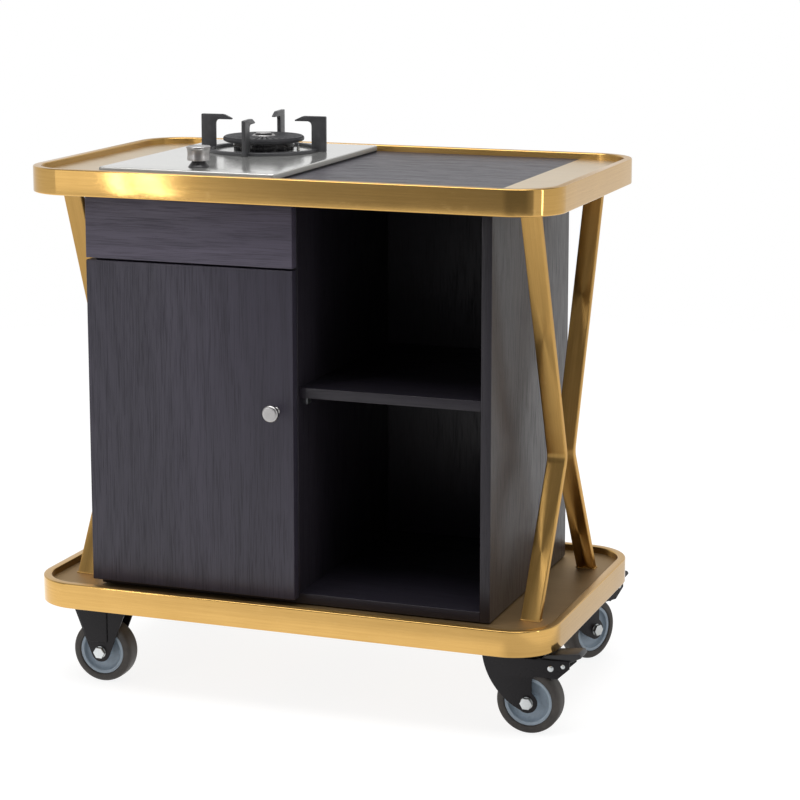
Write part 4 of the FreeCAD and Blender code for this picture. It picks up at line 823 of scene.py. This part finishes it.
class CART_OT_door_knob(CartStep):
    """Makes the door knob: a turned foot and stem that flare into a flat head with a soft edge."""

    bl_idname = "cart.door_knob"
    bl_label = "Door knob"

    def execute(self, context):
        low, high = span("door_knob")
        x, z = (low[0] + high[0]) / 2, (low[2] + high[2]) / 2
        corners = np.array([
            (7, 0), (7, 2.2), (4.6, 4), (4.6, 8.5), (9.5, 13.5), (13, 18), (13, 22.8), (10.8, 25), (0.4, 25),
        ])
        reach = np.array([0.1, 0.8, 1.2, 3.5, 3.0, 1.8, 1.2, 2.4, 0.1])
        profile = soften(corners * MM, reach * MM, 6, closed=False)
        shell = Shell().at((x, high[1], z), lay=LAY_FRONT).lathe(profile, 72)
        nickel = turned_nickel(round(x, 4), 0.0, round(z, 4), "XZ")
        shell.piece("door_knob_turned", "door", [nickel], ["door_knob"], "brushed_nickel", crease=50)
        return {"FINISHED"}


# Hob and burner

# Middles of the burner and of the gas knob, seen from above
BURNER = np.array([-162, 92, 0]) * MM
CONTROL = np.array([-162, -158, 0]) * MM


class CART_OT_hob(CartStep):
    """Makes the hob panel: a rolled edge, a flat deck and a raised ring pressed round the burner.

    Columns run from the panel's outline to the burner's hole. At a distance r from the burner the deck is
    raised by h sin(pi/2 (R - r) / (R - r_in)) over the ring, and then falls into the hole.
    """

    bl_idname = "cart.hob"
    bl_label = "Hob panel"

    def execute(self, context):
        low, high = span("hob_panel")
        half, middle = (high - low) / 2, (high + low) / 2
        corner, tuck = 6 * MM, 1.4 * MM
        ring_out, ring_in, ring_high = 76 * MM, 60 * MM, 1.3 * MM
        shoulder, hole, hole_deep = 54 * MM, 45 * MM, 7 * MM
        outline, _ = round_rectangle(half[0], half[1], corner, 8, 32)
        outline = outline + middle[:2]
        roll = sizes().hob_roll
        a = np.linspace(0, TURN / 4, 7)
        insets = np.concatenate([[tuck, 0], roll * (1 - np.cos(a))[1:]])
        heights = np.concatenate([[low[2], low[2]], high[2] - roll + roll * np.sin(a)[1:]])
        edge = raised(outline + insets[:, None, None] * inward(outline), heights)
        to_burner = edge[-1, :, :2] - BURNER[:2]
        angle = np.arctan2(to_burner[:, 1], to_burner[:, 0])
        radii = np.concatenate([np.linspace(ring_out, ring_in, 9), [shoulder, hole, hole]])
        share = np.clip((ring_out - radii) / (ring_out - ring_in), 0, 1)
        rise = ring_high * np.sin(share * np.pi / 2)
        rise[-1] = -hole_deep
        rings = BURNER[:2] + radii[:, None, None] * np.stack([np.cos(angle), np.sin(angle)], 1)
        deck = raised(rings, high[2] + rise)
        t = np.linspace(0, 1, 6)[1:-1][:, None, None]
        between = edge[-1] * (1 - t) + deck[0] * t
        shell = Shell().grid(np.concatenate([edge, between, deck]), rows_close=True)
        shell.piece("hob_deck", "cart", [hob_steel()], ["hob_panel"], "stainless", crease=50)
        return {"FINISHED"}


class CART_OT_burner(CartStep):
    """Makes the burner: a fluted cup with its mixing tube, and the cap with radial grooves and a crown.

    The cap's top is z(r, a) = top - depth * groove(a) * window(r), with a groove wherever cos(36 a) is high.
    The cup's flutes and the crown's notches likewise are r(h, a) = r(h) - depth * notch(a) * band(h).
    """

    bl_idname = "cart.burner"
    bl_label = "Burner"

    def execute(self, context):
        flutes, grooves, notches = 18, 36, 20
        flute_deep, groove_deep, notch_deep = 0.9, 1.5, 0.9
        cup = soften([
            (49.5, 825), (49.5, 826.6), (48.6, 827.2), (48.6, 833.8), (49.5, 834.4), (49.5, 836.2),
            (48.2, 836.8), (48.2, 838.4), (49.5, 839), (49.5, 841), (44, 841), (44, 838), (30, 821),
            (2, 821), (2, 780), (30, 780), (30, 818),
        ], 0.4, 2)
        reach, height = cup[:, :1], cup[:, 1:]
        a = angles(flutes * 16)
        fluted = np.clip(np.cos(flutes * a) * 3 - 1.4, 0, 1) * (np.abs(height - 830.5) < 3.4) * (reach > 48)
        shell = Shell().at(BURNER).grid(turned(reach - flute_deep * fluted, a, height) * MM, rows_close=True)
        tube = np.array([(13, 0), (13, 192), (11.8, 192), (11.8, 0)]) * MM
        tube_high = 795 * MM
        shell.at(BURNER + (0, 0, tube_high), lay=LAY_FRONT).lathe(tube, 40, closed=True)
        shell.piece("burner_cup", "cart", [cup_black()], ["burner_body"], "cast_burner", crease=50)

        top, inner, outer = 850, 19.5, 60.5
        under = soften([
            (2, 838), (43.2, 838), (43.6, 841), (61, 841), (64.8, 843), (65.5, 845), (65.2, 848), (62.5, top),
        ], 1.1, 4, closed=False)
        top_r = np.concatenate([np.linspace(61, 58.5, 4), np.linspace(52, 26, 6), np.linspace(22, inner, 4)])
        radius = np.concatenate([under[:, 0], top_r, [18.6, 2]])[:, None]
        height = np.concatenate([under[:, 1], np.full(len(top_r) + 2, top)])[:, None]
        window = np.clip((radius - inner) / 2, 0, 1) * np.clip((outer - radius) / 2, 0, 1)
        window = window * (height > top - 0.1)
        a = angles(grooves * 14)
        groove = np.clip((np.cos(grooves * a) + 0.1) / 0.4, 0, 1)
        cap = Shell().at(BURNER).grid(turned(radius, a, height - groove_deep * window * groove) * MM)
        ring = [(14, 849.6), (18.4, 849.6), (18.2, 850.8), (17, 851.7), (15.4, 851.7), (14, 850.6)]
        cap.lathe(soften(ring, 0.6, 3) * MM, 72, closed=True, material=1)
        crown = [(2, top), (13.2, top), (13.5, 851.4), (13.5, 853.5), (12.4, 854.3), (2, 854.3)]
        crown = soften(crown, 0.5, 3, closed=False)
        reach, height = crown[:, :1], crown[:, 1:]
        a = angles(notches * 8)
        notch = np.clip((np.cos(notches * a) - 0.1) / 0.3, 0, 1) * (np.abs(height - 852.3) < 1.2)
        cap.grid(turned(reach - notch_deep * notch, a, height) * MM, material=2)
        button = [(2, 853.8), (11.6, 853.8), (11.6, 854.6), (10.9, 855), (0.3, 855)]
        cap.lathe(soften(button, 0.3, 3, closed=False) * MM, 64, material=1)
        chrome = turned_nickel(BURNER[0].item(), BURNER[1].item(), 0.0, "XY")
        finishes = [cast_cap(), chrome, cup_black()]
        cap.piece("burner_cap_cast", "burner_cap", finishes, ["burner_cap"], "cast_burner")
        return {"FINISHED"}


class CART_OT_pan_support(CartStep):
    """Makes the pan support: a flat ring and four hooked arms with softened edges."""

    bl_idname = "cart.pan_support"
    bl_label = "Pan support"

    def execute(self, context):
        turn, half_thick, edge = 5.5, 3 * MM, 0.5 * MM
        ring = soften(rectangle((82, 826), (92, 831)), 1.2, 3) * MM
        shell = Shell().at(BURNER).lathe(ring, 96, closed=True)
        corners = np.array([
            (81, 826), (105, 826), (105, 883), (67, 883), (53.2, 876.6), (53.2, 874.6), (77, 874.6),
            (81, 870.6),
        ])
        arm = soften(corners * MM, np.array([0.8, 1.2, 2, 3, 0.7, 0.7, 3.5, 3.5]) * MM, 4)
        for quarter in range(4):
            shell.at(BURNER, turn + 90 * quarter, lay=LAY_FRONT).slab(arm, -half_thick, half_thick, edge)
        shell.piece("pan_support_iron", "pan_support", [black_enamel()], ["pan_support"], "enamel")
        return {"FINISHED"}


class CART_OT_gas_control(CartStep):
    """Makes the conical bezel, the waisted knob and the ignition electrode."""

    bl_idname = "cart.gas_control"
    bl_label = "Gas control"

    def execute(self, context):
        cone = [(6, 826), (16, 826), (16, 827), (10.5, 834.2), (10.5, 836), (6, 836)]
        shell = Shell().at(CONTROL).lathe(soften(cone, 0.3, 3) * MM, 64, closed=True)
        shell.piece("knob_bezel_cone", "cart", [black_plastic()], ["knob_bezel"], "black_plastic")
        dial = [
            (0.4, 841), (12.5, 841), (12.5, 836.5), (17.4, 836.5), (17.3, 840), (16.7, 846), (17.4, 853),
            (18.5, 855.2), (18.5, 857.2), (17.7, 858), (16, 858), (15.4, 857.5), (0.4, 857.5),
        ]
        reach = [0.1, 0.5, 0.5, 0.5, 1.5, 3, 1.5, 0.4, 0.4, 0.4, 0.3, 0.3, 0.1]
        knob = Shell().at(CONTROL).lathe(soften(dial, reach, 5, closed=False) * MM, 80)
        nickel = turned_nickel(CONTROL[0].item(), CONTROL[1].item(), 0.0, "XY")
        knob.piece("burner_knob_turned", "gas_knob", [nickel], ["burner_knob"], "knob_metal", crease=50)
        low, high = span("ignition_electrode")
        place = ((low[0] + high[0]) / 2, (low[1] + high[1]) / 2, 0)
        tip = high[2] / MM
        body = [
            (0.3, 806), (2.5, 806), (2.5, 825), (2.9, 826), (2.9, 828.5), (2.2, 829.5), (2.1, 832),
            (0.9, 832.4),
        ]
        wire = [(0.2, 831), (0.8, 831), (0.8, tip - 0.6), (0.2, tip)]
        rod = Shell().at(place).lathe(soften(body, 0.3, 3, closed=False) * MM, 32)
        rod.lathe(soften(wire, 0.3, 3, closed=False) * MM, 20, material=1)
        rod.piece("electrode_rod", "cart", [white_ceramic(), zinc_plate()], ["ignition_electrode"], "ceramic")
        return {"FINISHED"}


# Casters

# From the middle of a fork to a cheek, the cheek's thickness, the axle's height and the plate's two faces
FORK_HALF = 18 * MM
FORK_SHEET = 2.5 * MM
WHEEL_UP = 50 * MM
PLATE_LOW = 132.5 * MM
PLATE_HIGH = 136 * MM

# Middle of the plate in X and Y, turn in degrees, and how far the axle lies behind the kingpin
CASTERS = {
    "front_left": (-330, -172, 0.0, 0.0),
    "rear_left": (-330, 172, 0.0, 0.0),
    "front_right": (344, -172, 0.0, 33.0),
    "rear_right": (344, 172, 63.6, 33.0),
}


def caster_place(corner):
    """Middle of one caster on the floor, its turn in degrees and its wheel's centre, in metres."""
    x, y, degrees, trail = CASTERS[corner]
    a = np.radians(degrees)
    middle = np.array([x, y, 0]) * MM
    return middle, degrees, middle + (trail * MM * np.cos(a), trail * MM * np.sin(a), WHEEL_UP)


def arc(start, end, radius, side, steps):
    """Points of a circle's arc from start to end; side says to which side of the line its middle lies."""
    start, end = np.asarray(start, float), np.asarray(end, float)
    half = (end - start) / 2
    across = np.array([-half[1], half[0]]) / np.linalg.norm(half)
    middle = start + half + side * across * np.sqrt(max(radius**2 - half @ half, 0))
    a0, a1 = (np.arctan2(*(place - middle)[::-1]) for place in (start, end))
    swing = (a1 - a0 + np.pi) % TURN - np.pi
    a = a0 + swing * np.linspace(0, 1, steps + 1)
    return middle + radius * np.stack([np.cos(a), np.sin(a)], 1)


def hexagon(across):
    """The outline of a bolt head, from its size across the flats."""
    return circle(across / np.sqrt(3), 6)


def mirrored(half):
    """A profile of a wheel from its half on one side of the middle."""
    return np.vstack([half, half[::-1] * (1, -1)])


def both_cheeks(shell, place, degrees, outline):
    """Sets one outline, drawn in XZ, as a plate on each side of the wheel."""
    for near in (FORK_HALF, -FORK_HALF - FORK_SHEET):
        shell.at(place, degrees, LAY_FRONT).slab(outline, near, near + FORK_SHEET, sizes().sheet_edge)


def mounting_plate(shell, place):
    """The top plate, with a washer and a bolt head under it near each of its corners."""
    plate = soften(rectangle((-47, -34), (47, 34)), 5, 6) * MM
    washer = soften(rectangle((0.6, 131), (6.2, 132.5)), 0.3, 2) * MM
    shell.at(place).slab(plate, PLATE_LOW, PLATE_HIGH, sizes().sheet_edge)
    for x in (-36, 36):
        for y in (-27, 27):
            spot = place + np.array([x, y, 0]) * MM
            shell.at(spot).lathe(washer, 28, closed=True, material=1)
            shell.at(spot, 30).slab(hexagon(10 * MM), 127 * MM, 131 * MM, 0.6 * MM, material=1)


class CART_OT_wheels(CartStep):
    """Makes the four wheels: a dished nylon centre and a tyre with rounded shoulders."""

    bl_idname = "cart.wheels"
    bl_label = "Wheels"

    def execute(self, context):
        side = np.array([
            (5.05, 17.7), (12, 17.7), (12.6, 6.5), (15, 5), (26, 5), (30.5, 8), (32, 14), (37, 14),
        ])
        hub = soften(mirrored(side), [0.4, 1.4, 2, 2, 4, 3, 1.2, 0.6] * 2, 4) * MM
        tread = np.array([(37, 14), (38.5, 16), (44, 16), (48.6, 14.2), (50, 9)])
        reach = [0.3, 0.8, 2.5, 3.5, 3]
        tyre = soften(mirrored(tread), reach + reach[::-1], 4) * MM
        for corner in CASTERS:
            _, degrees, centre = caster_place(corner)
            body, hub_node, tyre_node = corner + "_wheel", "hub_" + corner, "tyre_" + corner
            shell = Shell().at(centre, degrees, LAY_FRONT).lathe(hub, 72, closed=True)
            shell.piece(hub_node + "_nylon", body, [hub_nylon()], [hub_node], "wheel_nylon")
            shell = Shell().at(centre, degrees, LAY_FRONT).lathe(tyre, 96, closed=True)
            shell.piece(tyre_node + "_rubber", body, [tyre_rubber()], [tyre_node], "tyre_rubber")
        return {"FINISHED"}


class CART_OT_rigid_forks(CartStep):
    """Makes the two rigid forks: plate, tapering cheeks with their pressed ribs, and bolt heads.

    A cheek's sloping sides leave the ends of the plate and touch the circle round the axle at an angle of
    atan2(rise, half) + atan2(boss, sqrt(half^2 + rise^2 - boss^2)) round it.
    """

    bl_idname = "cart.rigid_forks"
    bl_label = "Rigid forks"

    def execute(self, context):
        boss, half, rise = 16 * MM, 50 * MM, PLATE_LOW - WHEEL_UP
        slope = np.arctan2(rise, half) + np.arctan2(boss, np.sqrt(half**2 + rise**2 - boss**2))
        touch = np.array([boss * np.sin(slope), WHEEL_UP - boss * np.cos(slope)])
        top = np.array([half, PLATE_LOW])
        bottom = np.array([0, WHEEL_UP - boss])
        lower_left = arc(touch * (-1, 1), bottom, boss, 1, 8)[:-1]
        cheek = np.vstack([top * (-1, 1), lower_left, arc(bottom, touch, boss, 1, 8), top])
        rib = soften([(-21, 66), (13, 66), (13, 132.5), (-46, 132.5)], 4, 5) * MM
        rib_thick, rib_edge = 2.6 * MM, 1.6 * MM
        shell = Shell()
        for corner in ("front_left", "rear_left"):
            middle, degrees, _ = caster_place(corner)
            mounting_plate(shell, middle)
            both_cheeks(shell, middle, degrees, cheek)
            for near in (20.4 * MM, -23 * MM):
                shell.at(middle, degrees, LAY_FRONT).slab(rib, near, near + rib_thick, rib_edge, steps=4)
        finishes = [black_coat(), zinc_plate()]
        shell.piece("rigid_forks_pressed", "cart", finishes, ["rigid_forks"], "black_steel")
        return {"FINISHED"}


class CART_OT_swivel_forks(CartStep):
    """Makes the swivel plates with their races, and the forks that turn under them with their rivets."""

    bl_idname = "cart.swivel_forks"
    bl_label = "Swivel forks"

    def execute(self, context):
        plates = Shell()
        race = [(6, 124.3), (24, 124.3), (28.5, 125.2), (30, 128), (29, 132.5), (6, 132.5)]
        race = soften(race, 1.5, 4) * MM
        pin = [(2, 113.7), (9, 113.7), (10, 115.5), (8.6, 117.7), (6, 118), (6, 132), (2, 132)]
        pin = soften(pin, 0.8, 3) * MM
        boss = [(23.4, 37.2), (42.6, 37.2), (45.8, 59.6)]
        cheek = np.vstack([
            arc((-38, 120.5), boss[0], 104, 1, 16)[:-1], arc(boss[0], boss[1], 16, 1, 10)[:-1],
            arc(boss[1], boss[2], 16, 1, 8), [(40, 66)], arc((40, 84), (48, 92), 8, -1, 6),
            [(80, 92), (98, 109), (98, 120.5)],
        ]) * MM
        crown = soften(rectangle((-38, -20.5), (50, 20.5)), 3, 4) * MM
        crown_low, crown_high = 118 * MM, 120.5 * MM
        cup = soften([(6.1, 120), (27.5, 120), (28.6, 121), (27, 124), (6.1, 124)], 1, 3) * MM
        finishes = [black_coat(), zinc_plate()]
        for corner in ("front_right", "rear_right"):
            middle, degrees, _ = caster_place(corner)
            a = np.radians(degrees)
            mounting_plate(plates, middle)
            plates.at(middle).lathe(race, 72, closed=True)
            plates.at(middle).lathe(pin, 40, closed=True, material=1)
            fork = Shell()
            both_cheeks(fork, middle, degrees, cheek)
            fork.at(middle, degrees).slab(crown, crown_low, crown_high, sizes().sheet_edge)
            fork.at(middle, degrees).lathe(cup, 72, closed=True)
            for u, z, radius in ((69, 107, 5.0), (88, 112, 3.6)):
                head = [(0.3, 19), (radius, 19), (radius, 20.9), (radius * 0.7, 22), (0.3, 22.3)]
                head = soften(head, 0.8, 3, closed=False) * MM
                spot = middle + np.array([u * np.cos(a), u * np.sin(a), z]) * MM
                for turn in (degrees, degrees + 180):
                    fork.at(spot, turn, LAY_FRONT).lathe(head, 28, material=1)
            name = f"swivel_fork_{corner}"
            fork.piece(name + "_pressed", corner + "_swivel", finishes, [name], "black_steel")
        plates.piece("swivel_plates_pressed", "cart", finishes, ["swivel_plates"], "black_steel")
        return {"FINISHED"}


class CART_OT_axles(CartStep):
    """Makes the axle bolts: shank, hexagon head and nut with softened corners, and a washer under each."""

    bl_idname = "cart.axles"
    bl_label = "Axle bolts"

    def execute(self, context):
        shank = [(0.3, -31.5), (4, -31.5), (5, -30.6), (5, 20.5), (0.3, 20.5)]
        shank = soften(shank, 0.4, 2, closed=False) * MM
        head_low, head_high = 20.5, 27
        nut_low, nut_high = -28.5, -20.5
        washer_thick = 1.2
        rigid = Shell()
        for corner in CASTERS:
            _, degrees, centre = caster_place(corner)
            shell = rigid if corner.endswith("left") else Shell()
            shell.at(centre, degrees, LAY_FRONT).lathe(shank, 36)
            for low, high, start in (
                (head_low, head_high, head_low),
                (nut_low, nut_high, nut_high - washer_thick),
            ):
                washer = soften(rectangle((5, start), (9.6, start + washer_thick)), 0.3, 2) * MM
                shell.lathe(washer, 36, closed=True)
                shell.slab(hexagon(17 * MM), low * MM, high * MM, 1.1 * MM, steps=4)
            if shell is not rigid:
                name = f"axle_{corner}"
                shell.piece(name + "_bolt", corner + "_swivel", [zinc_plate()], [name], "zinc_steel")
        rigid.piece("rigid_axles_bolts", "cart", [zinc_plate()], ["rigid_axles"], "zinc_steel")
        return {"FINISHED"}


class CART_OT_pedals(CartStep):
    """Makes the two brake pedals: a lever between the cheeks, with a tread and a shoe above the tyre."""

    bl_idname = "cart.pedals"
    bl_label = "Brake pedals"

    def execute(self, context):
        corners = [
            (54, 110), (66, 104), (66, 93), (71, 88), (76, 91), (79, 107), (103.6, 121), (116, 127.2),
            (111.9, 133.4), (62.8, 127.2), (54, 121),
        ]
        lever = soften(corners, [2, 2, 3, 3, 2, 4, 5, 3, 3, 6, 3], 4) * MM
        half_wide, edge = 17 * MM, 1.4 * MM
        for corner in ("front_right", "rear_right"):
            middle, degrees, _ = caster_place(corner)
            shell = Shell().at(middle, degrees, LAY_FRONT).slab(lever, -half_wide, half_wide, edge)
            name = f"brake_pedal_{corner}"
            shell.piece(name + "_lever", corner + "_pedal", [black_plastic()], [name], "black_plastic")
        return {"FINISHED"}


# Finishes of the CAD nodes that stay


class CART_OT_finishes(CartStep):
    """Gives every CAD node that stays on show its finish."""

    bl_idname = "cart.finishes"
    bl_label = "Finishes"

    def execute(self, context):
        kept = {
            # The lower tray floor's brass is painted darker and browner as painted shade from the cabinet,
            # and is rougher.
            "lower_tray_floor": brass_sheet(1.0),
            "upper_floor_left": brass_sheet(),
            "upper_floor_right": brass_sheet(),
            "base_rails": black_coat(),
            "top_board": black_oak("X", "Y", (0.85, 0.85, 0.8), 0.0, 0.52),
            "cabinet_glides": black_plastic(),
            "shelf_brackets": zinc_plate(),
            "runners_fixed": zinc_plate(),
            "runners_moving": zinc_plate(),
            "hinge_leaves_fixed": zinc_plate(),
            "hinge_leaves_door": zinc_plate(),
            "magnetic_catch": black_plastic(),
            "strike_plate": zinc_plate(),
            "drawer_box": drawer_ply(),
            "drawer_bottom": drawer_ply(),
            "hob_seal": seal_foam(),
            "hob_chassis": galvanised(),
            "gas_valve": valve_brass(),
            "valve_cone": valve_brass(),
            "valve_spindle": valve_brass(),
        }
        for name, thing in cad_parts.items():
            if thing.hide_render:
                continue
            thing.data.materials.clear()
            thing.data.materials.append(kept[name])
        return {"FINISHED"}


# Studio


WHITE = (1.0, 1.0, 1.0, 1.0)

# Name: place, target, width, height and watts of each lamp
LAMPS = {
    "lamp_over": ((0.0, -0.75, 3.0), (0.0, 0.0, 0.5), 2.8, 1.6, 66.0),
    "lamp_left": ((-1.97, -3.6, 1.2), (-0.26, -0.25, 0.9), 0.03, 2.6, 3.0),
    "lamp_left_near": ((-1.83, -3.6, 1.2), (-0.2, -0.25, 0.9), 0.03, 2.6, 2.6),
    "lamp_left_wide": ((-2.4, -3.75, 1.2), (-0.2, -0.25, 0.9), 1.1, 2.6, 4.4),
    "lamp_right": ((3.2, -0.95, 0.9), (0.0, 0.0, 0.9), 0.2, 2.2, 6.0),
}


def lamp(name, place, target, width, height, watts):
    """A rectangular lamp at a place that faces a target."""
    data = bpy.data.lights.new(name, "AREA")
    data.shape = "RECTANGLE"
    data.size, data.size_y = width, height
    data.energy = watts
    thing = bpy.data.objects.new(name, data)
    thing.location = place
    thing.rotation_euler = (Vector(target) - Vector(place)).to_track_quat("-Z", "Y").to_euler()
    bpy.context.scene.collection.objects.link(thing)


def studio_air():
    """The world: white to the camera, and to all else a room with a grey wall in front of the cart.

    The wall stands where (0.26 x - 0.966 y) / sqrt(1 - z^2), the cosine of the level turn from it, is high.
    Reflections also show a darker band above it.
    """
    world = bpy.data.worlds.new("studio_air")
    world.use_nodes = True
    graph = Graph(world.node_tree)
    seen, glossy = graph.rays()
    x, y, z = graph.split(graph.value("TexCoord", output="Generated"))
    level = (1.0 - z * z).clamped(0.01, 1.0, 0.01, 1.0) ** 0.5
    facing = (x * 0.26 - y * 0.966) * level ** -1.0
    wall = facing.clamped(0.755, 0.795, 0.0, 0.72) + facing.clamped(0.8, 0.94, 0.0, 0.28)
    room = graph.mix(wall * z.clamped(0.8, 0.93, 1.0, 0.0), WHITE, (0.22, 0.22, 0.23))
    band = z.clamped(0.54, 0.64) * z.clamped(0.8, 0.9, 1.0, 0.0)
    in_mirrors = graph.mix(band * 0.75, room, (0.12, 0.12, 0.12))
    air, mirror, backdrop = (
        graph.value("Background", {}, {"Color": shown, "Strength": strength})
        for shown, strength in ((room, 0.7), (in_mirrors, 0.9), (WHITE, 1.0))
    )
    lit = graph.value("MixShader", {}, {0: glossy, 1: air, 2: mirror})
    graph.node("OutputWorld", {}, {"Surface": graph.value("MixShader", {}, {0: seen, 1: lit, 2: backdrop})})
    return world


def studio_floor():
    """The floor, a disc of dull paper that glows for the camera and, by place, in reflections."""
    mesh = bpy.data.meshes.new("studio_floor")
    ring = circle(sizes().floor, 96)
    mesh.from_pydata(np.column_stack([ring, np.zeros(len(ring))]).tolist(), [], [list(range(len(ring)))])
    floor = bpy.data.objects.new("studio_floor", mesh)
    bpy.context.scene.collection.objects.link(floor)
    paper = bpy.data.materials.new("studio_paper")
    paper.use_nodes = True
    graph = Graph(paper.node_tree)
    seen, glossy = graph.rays()
    dull = graph.value("BsdfDiffuse", {}, {"Color": (0.62, 0.62, 0.62, 1.0)})
    glow = graph.value("Emission", {}, {"Color": WHITE, "Strength": 1.35})
    x, y, _ = graph.split(graph.place())
    shine = x.clamped(-0.7, 0.15, 0.9, 0.35) + x.clamped(0.8, 0.95, 0.0, 0.5)
    near = y.clamped(-0.85, -0.65) * x.clamped(0.25, 0.4, 1.0, 0.0)
    shine = shine + near * (shine * -1.0 + 1.0)
    surface = graph.value("MixShader", {}, {0: seen * 0.64 + glossy * shine, 1: dull, 2: glow})
    graph.node("OutputMaterial", {}, {"Surface": surface})
    mesh.materials.append(paper)


def studio_camera():
    """The photograph's camera, as solved from the edges of the upper rim."""
    data = bpy.data.cameras.new("camera")
    data.lens = 109.14
    data.sensor_width = 36.0
    data.shift_y = -0.1
    data.clip_start, data.clip_end = 0.05, 60.0
    camera = bpy.data.objects.new("camera", data)
    camera.location = (1.3871, -3.4963, 1.2495)
    camera.rotation_euler = tuple(np.radians([90 - 10.199, 0.0, 20.128]).tolist())
    bpy.context.scene.collection.objects.link(camera)
    return camera


class CART_OT_studio(CartStep):
    """Makes the pale floor, the white background, the soft lamps and the camera."""

    bl_idname = "cart.studio"
    bl_label = "Studio"

    def execute(self, context):
        scene = context.scene
        scene.world = studio_air()
        studio_floor()
        for name, values in LAMPS.items():
            lamp(name, *values)
        scene.camera = studio_camera()
        scene.view_settings.view_transform = "Standard"
        return {"FINISHED"}


STEPS = (
    CART_OT_bands, CART_OT_straps, CART_OT_boards, CART_OT_fronts, CART_OT_door_knob, CART_OT_hob,
    CART_OT_burner, CART_OT_pan_support, CART_OT_gas_control, CART_OT_wheels, CART_OT_rigid_forks,
    CART_OT_swivel_forks, CART_OT_axles, CART_OT_pedals, CART_OT_finishes, CART_OT_studio,
)


class CART_PT_dressing(bpy.types.Panel):
    """Lists the sizes, the colours and the steps."""

    bl_idname = "CART_PT_dressing"
    bl_label = "Serving cart"
    bl_space_type = "VIEW_3D"
    bl_region_type = "UI"
    bl_category = "Cart"

    def draw(self, context):
        for step in STEPS:
            self.layout.operator(step.bl_idname)
        for group in (context.scene.cart_sizes, context.scene.cart_colours):
            for name in group.__annotations__:
                self.layout.prop(group, name)


CLASSES = (CartSizes, CartColours, *STEPS, CART_PT_dressing)


def register():
    for part in CLASSES:
        bpy.utils.register_class(part)
    bpy.types.Scene.cart_sizes = PointerProperty(type=CartSizes)
    bpy.types.Scene.cart_colours = PointerProperty(type=CartColours)


def unregister():
    del bpy.types.Scene.cart_colours
    del bpy.types.Scene.cart_sizes
    for part in reversed(CLASSES):
        bpy.utils.unregister_class(part)


def main():
    register()
    for step in STEPS:
        group, name = step.bl_idname.split(".")
        getattr(getattr(bpy.ops, group), name)()


if __name__ == "__main__":
    main()
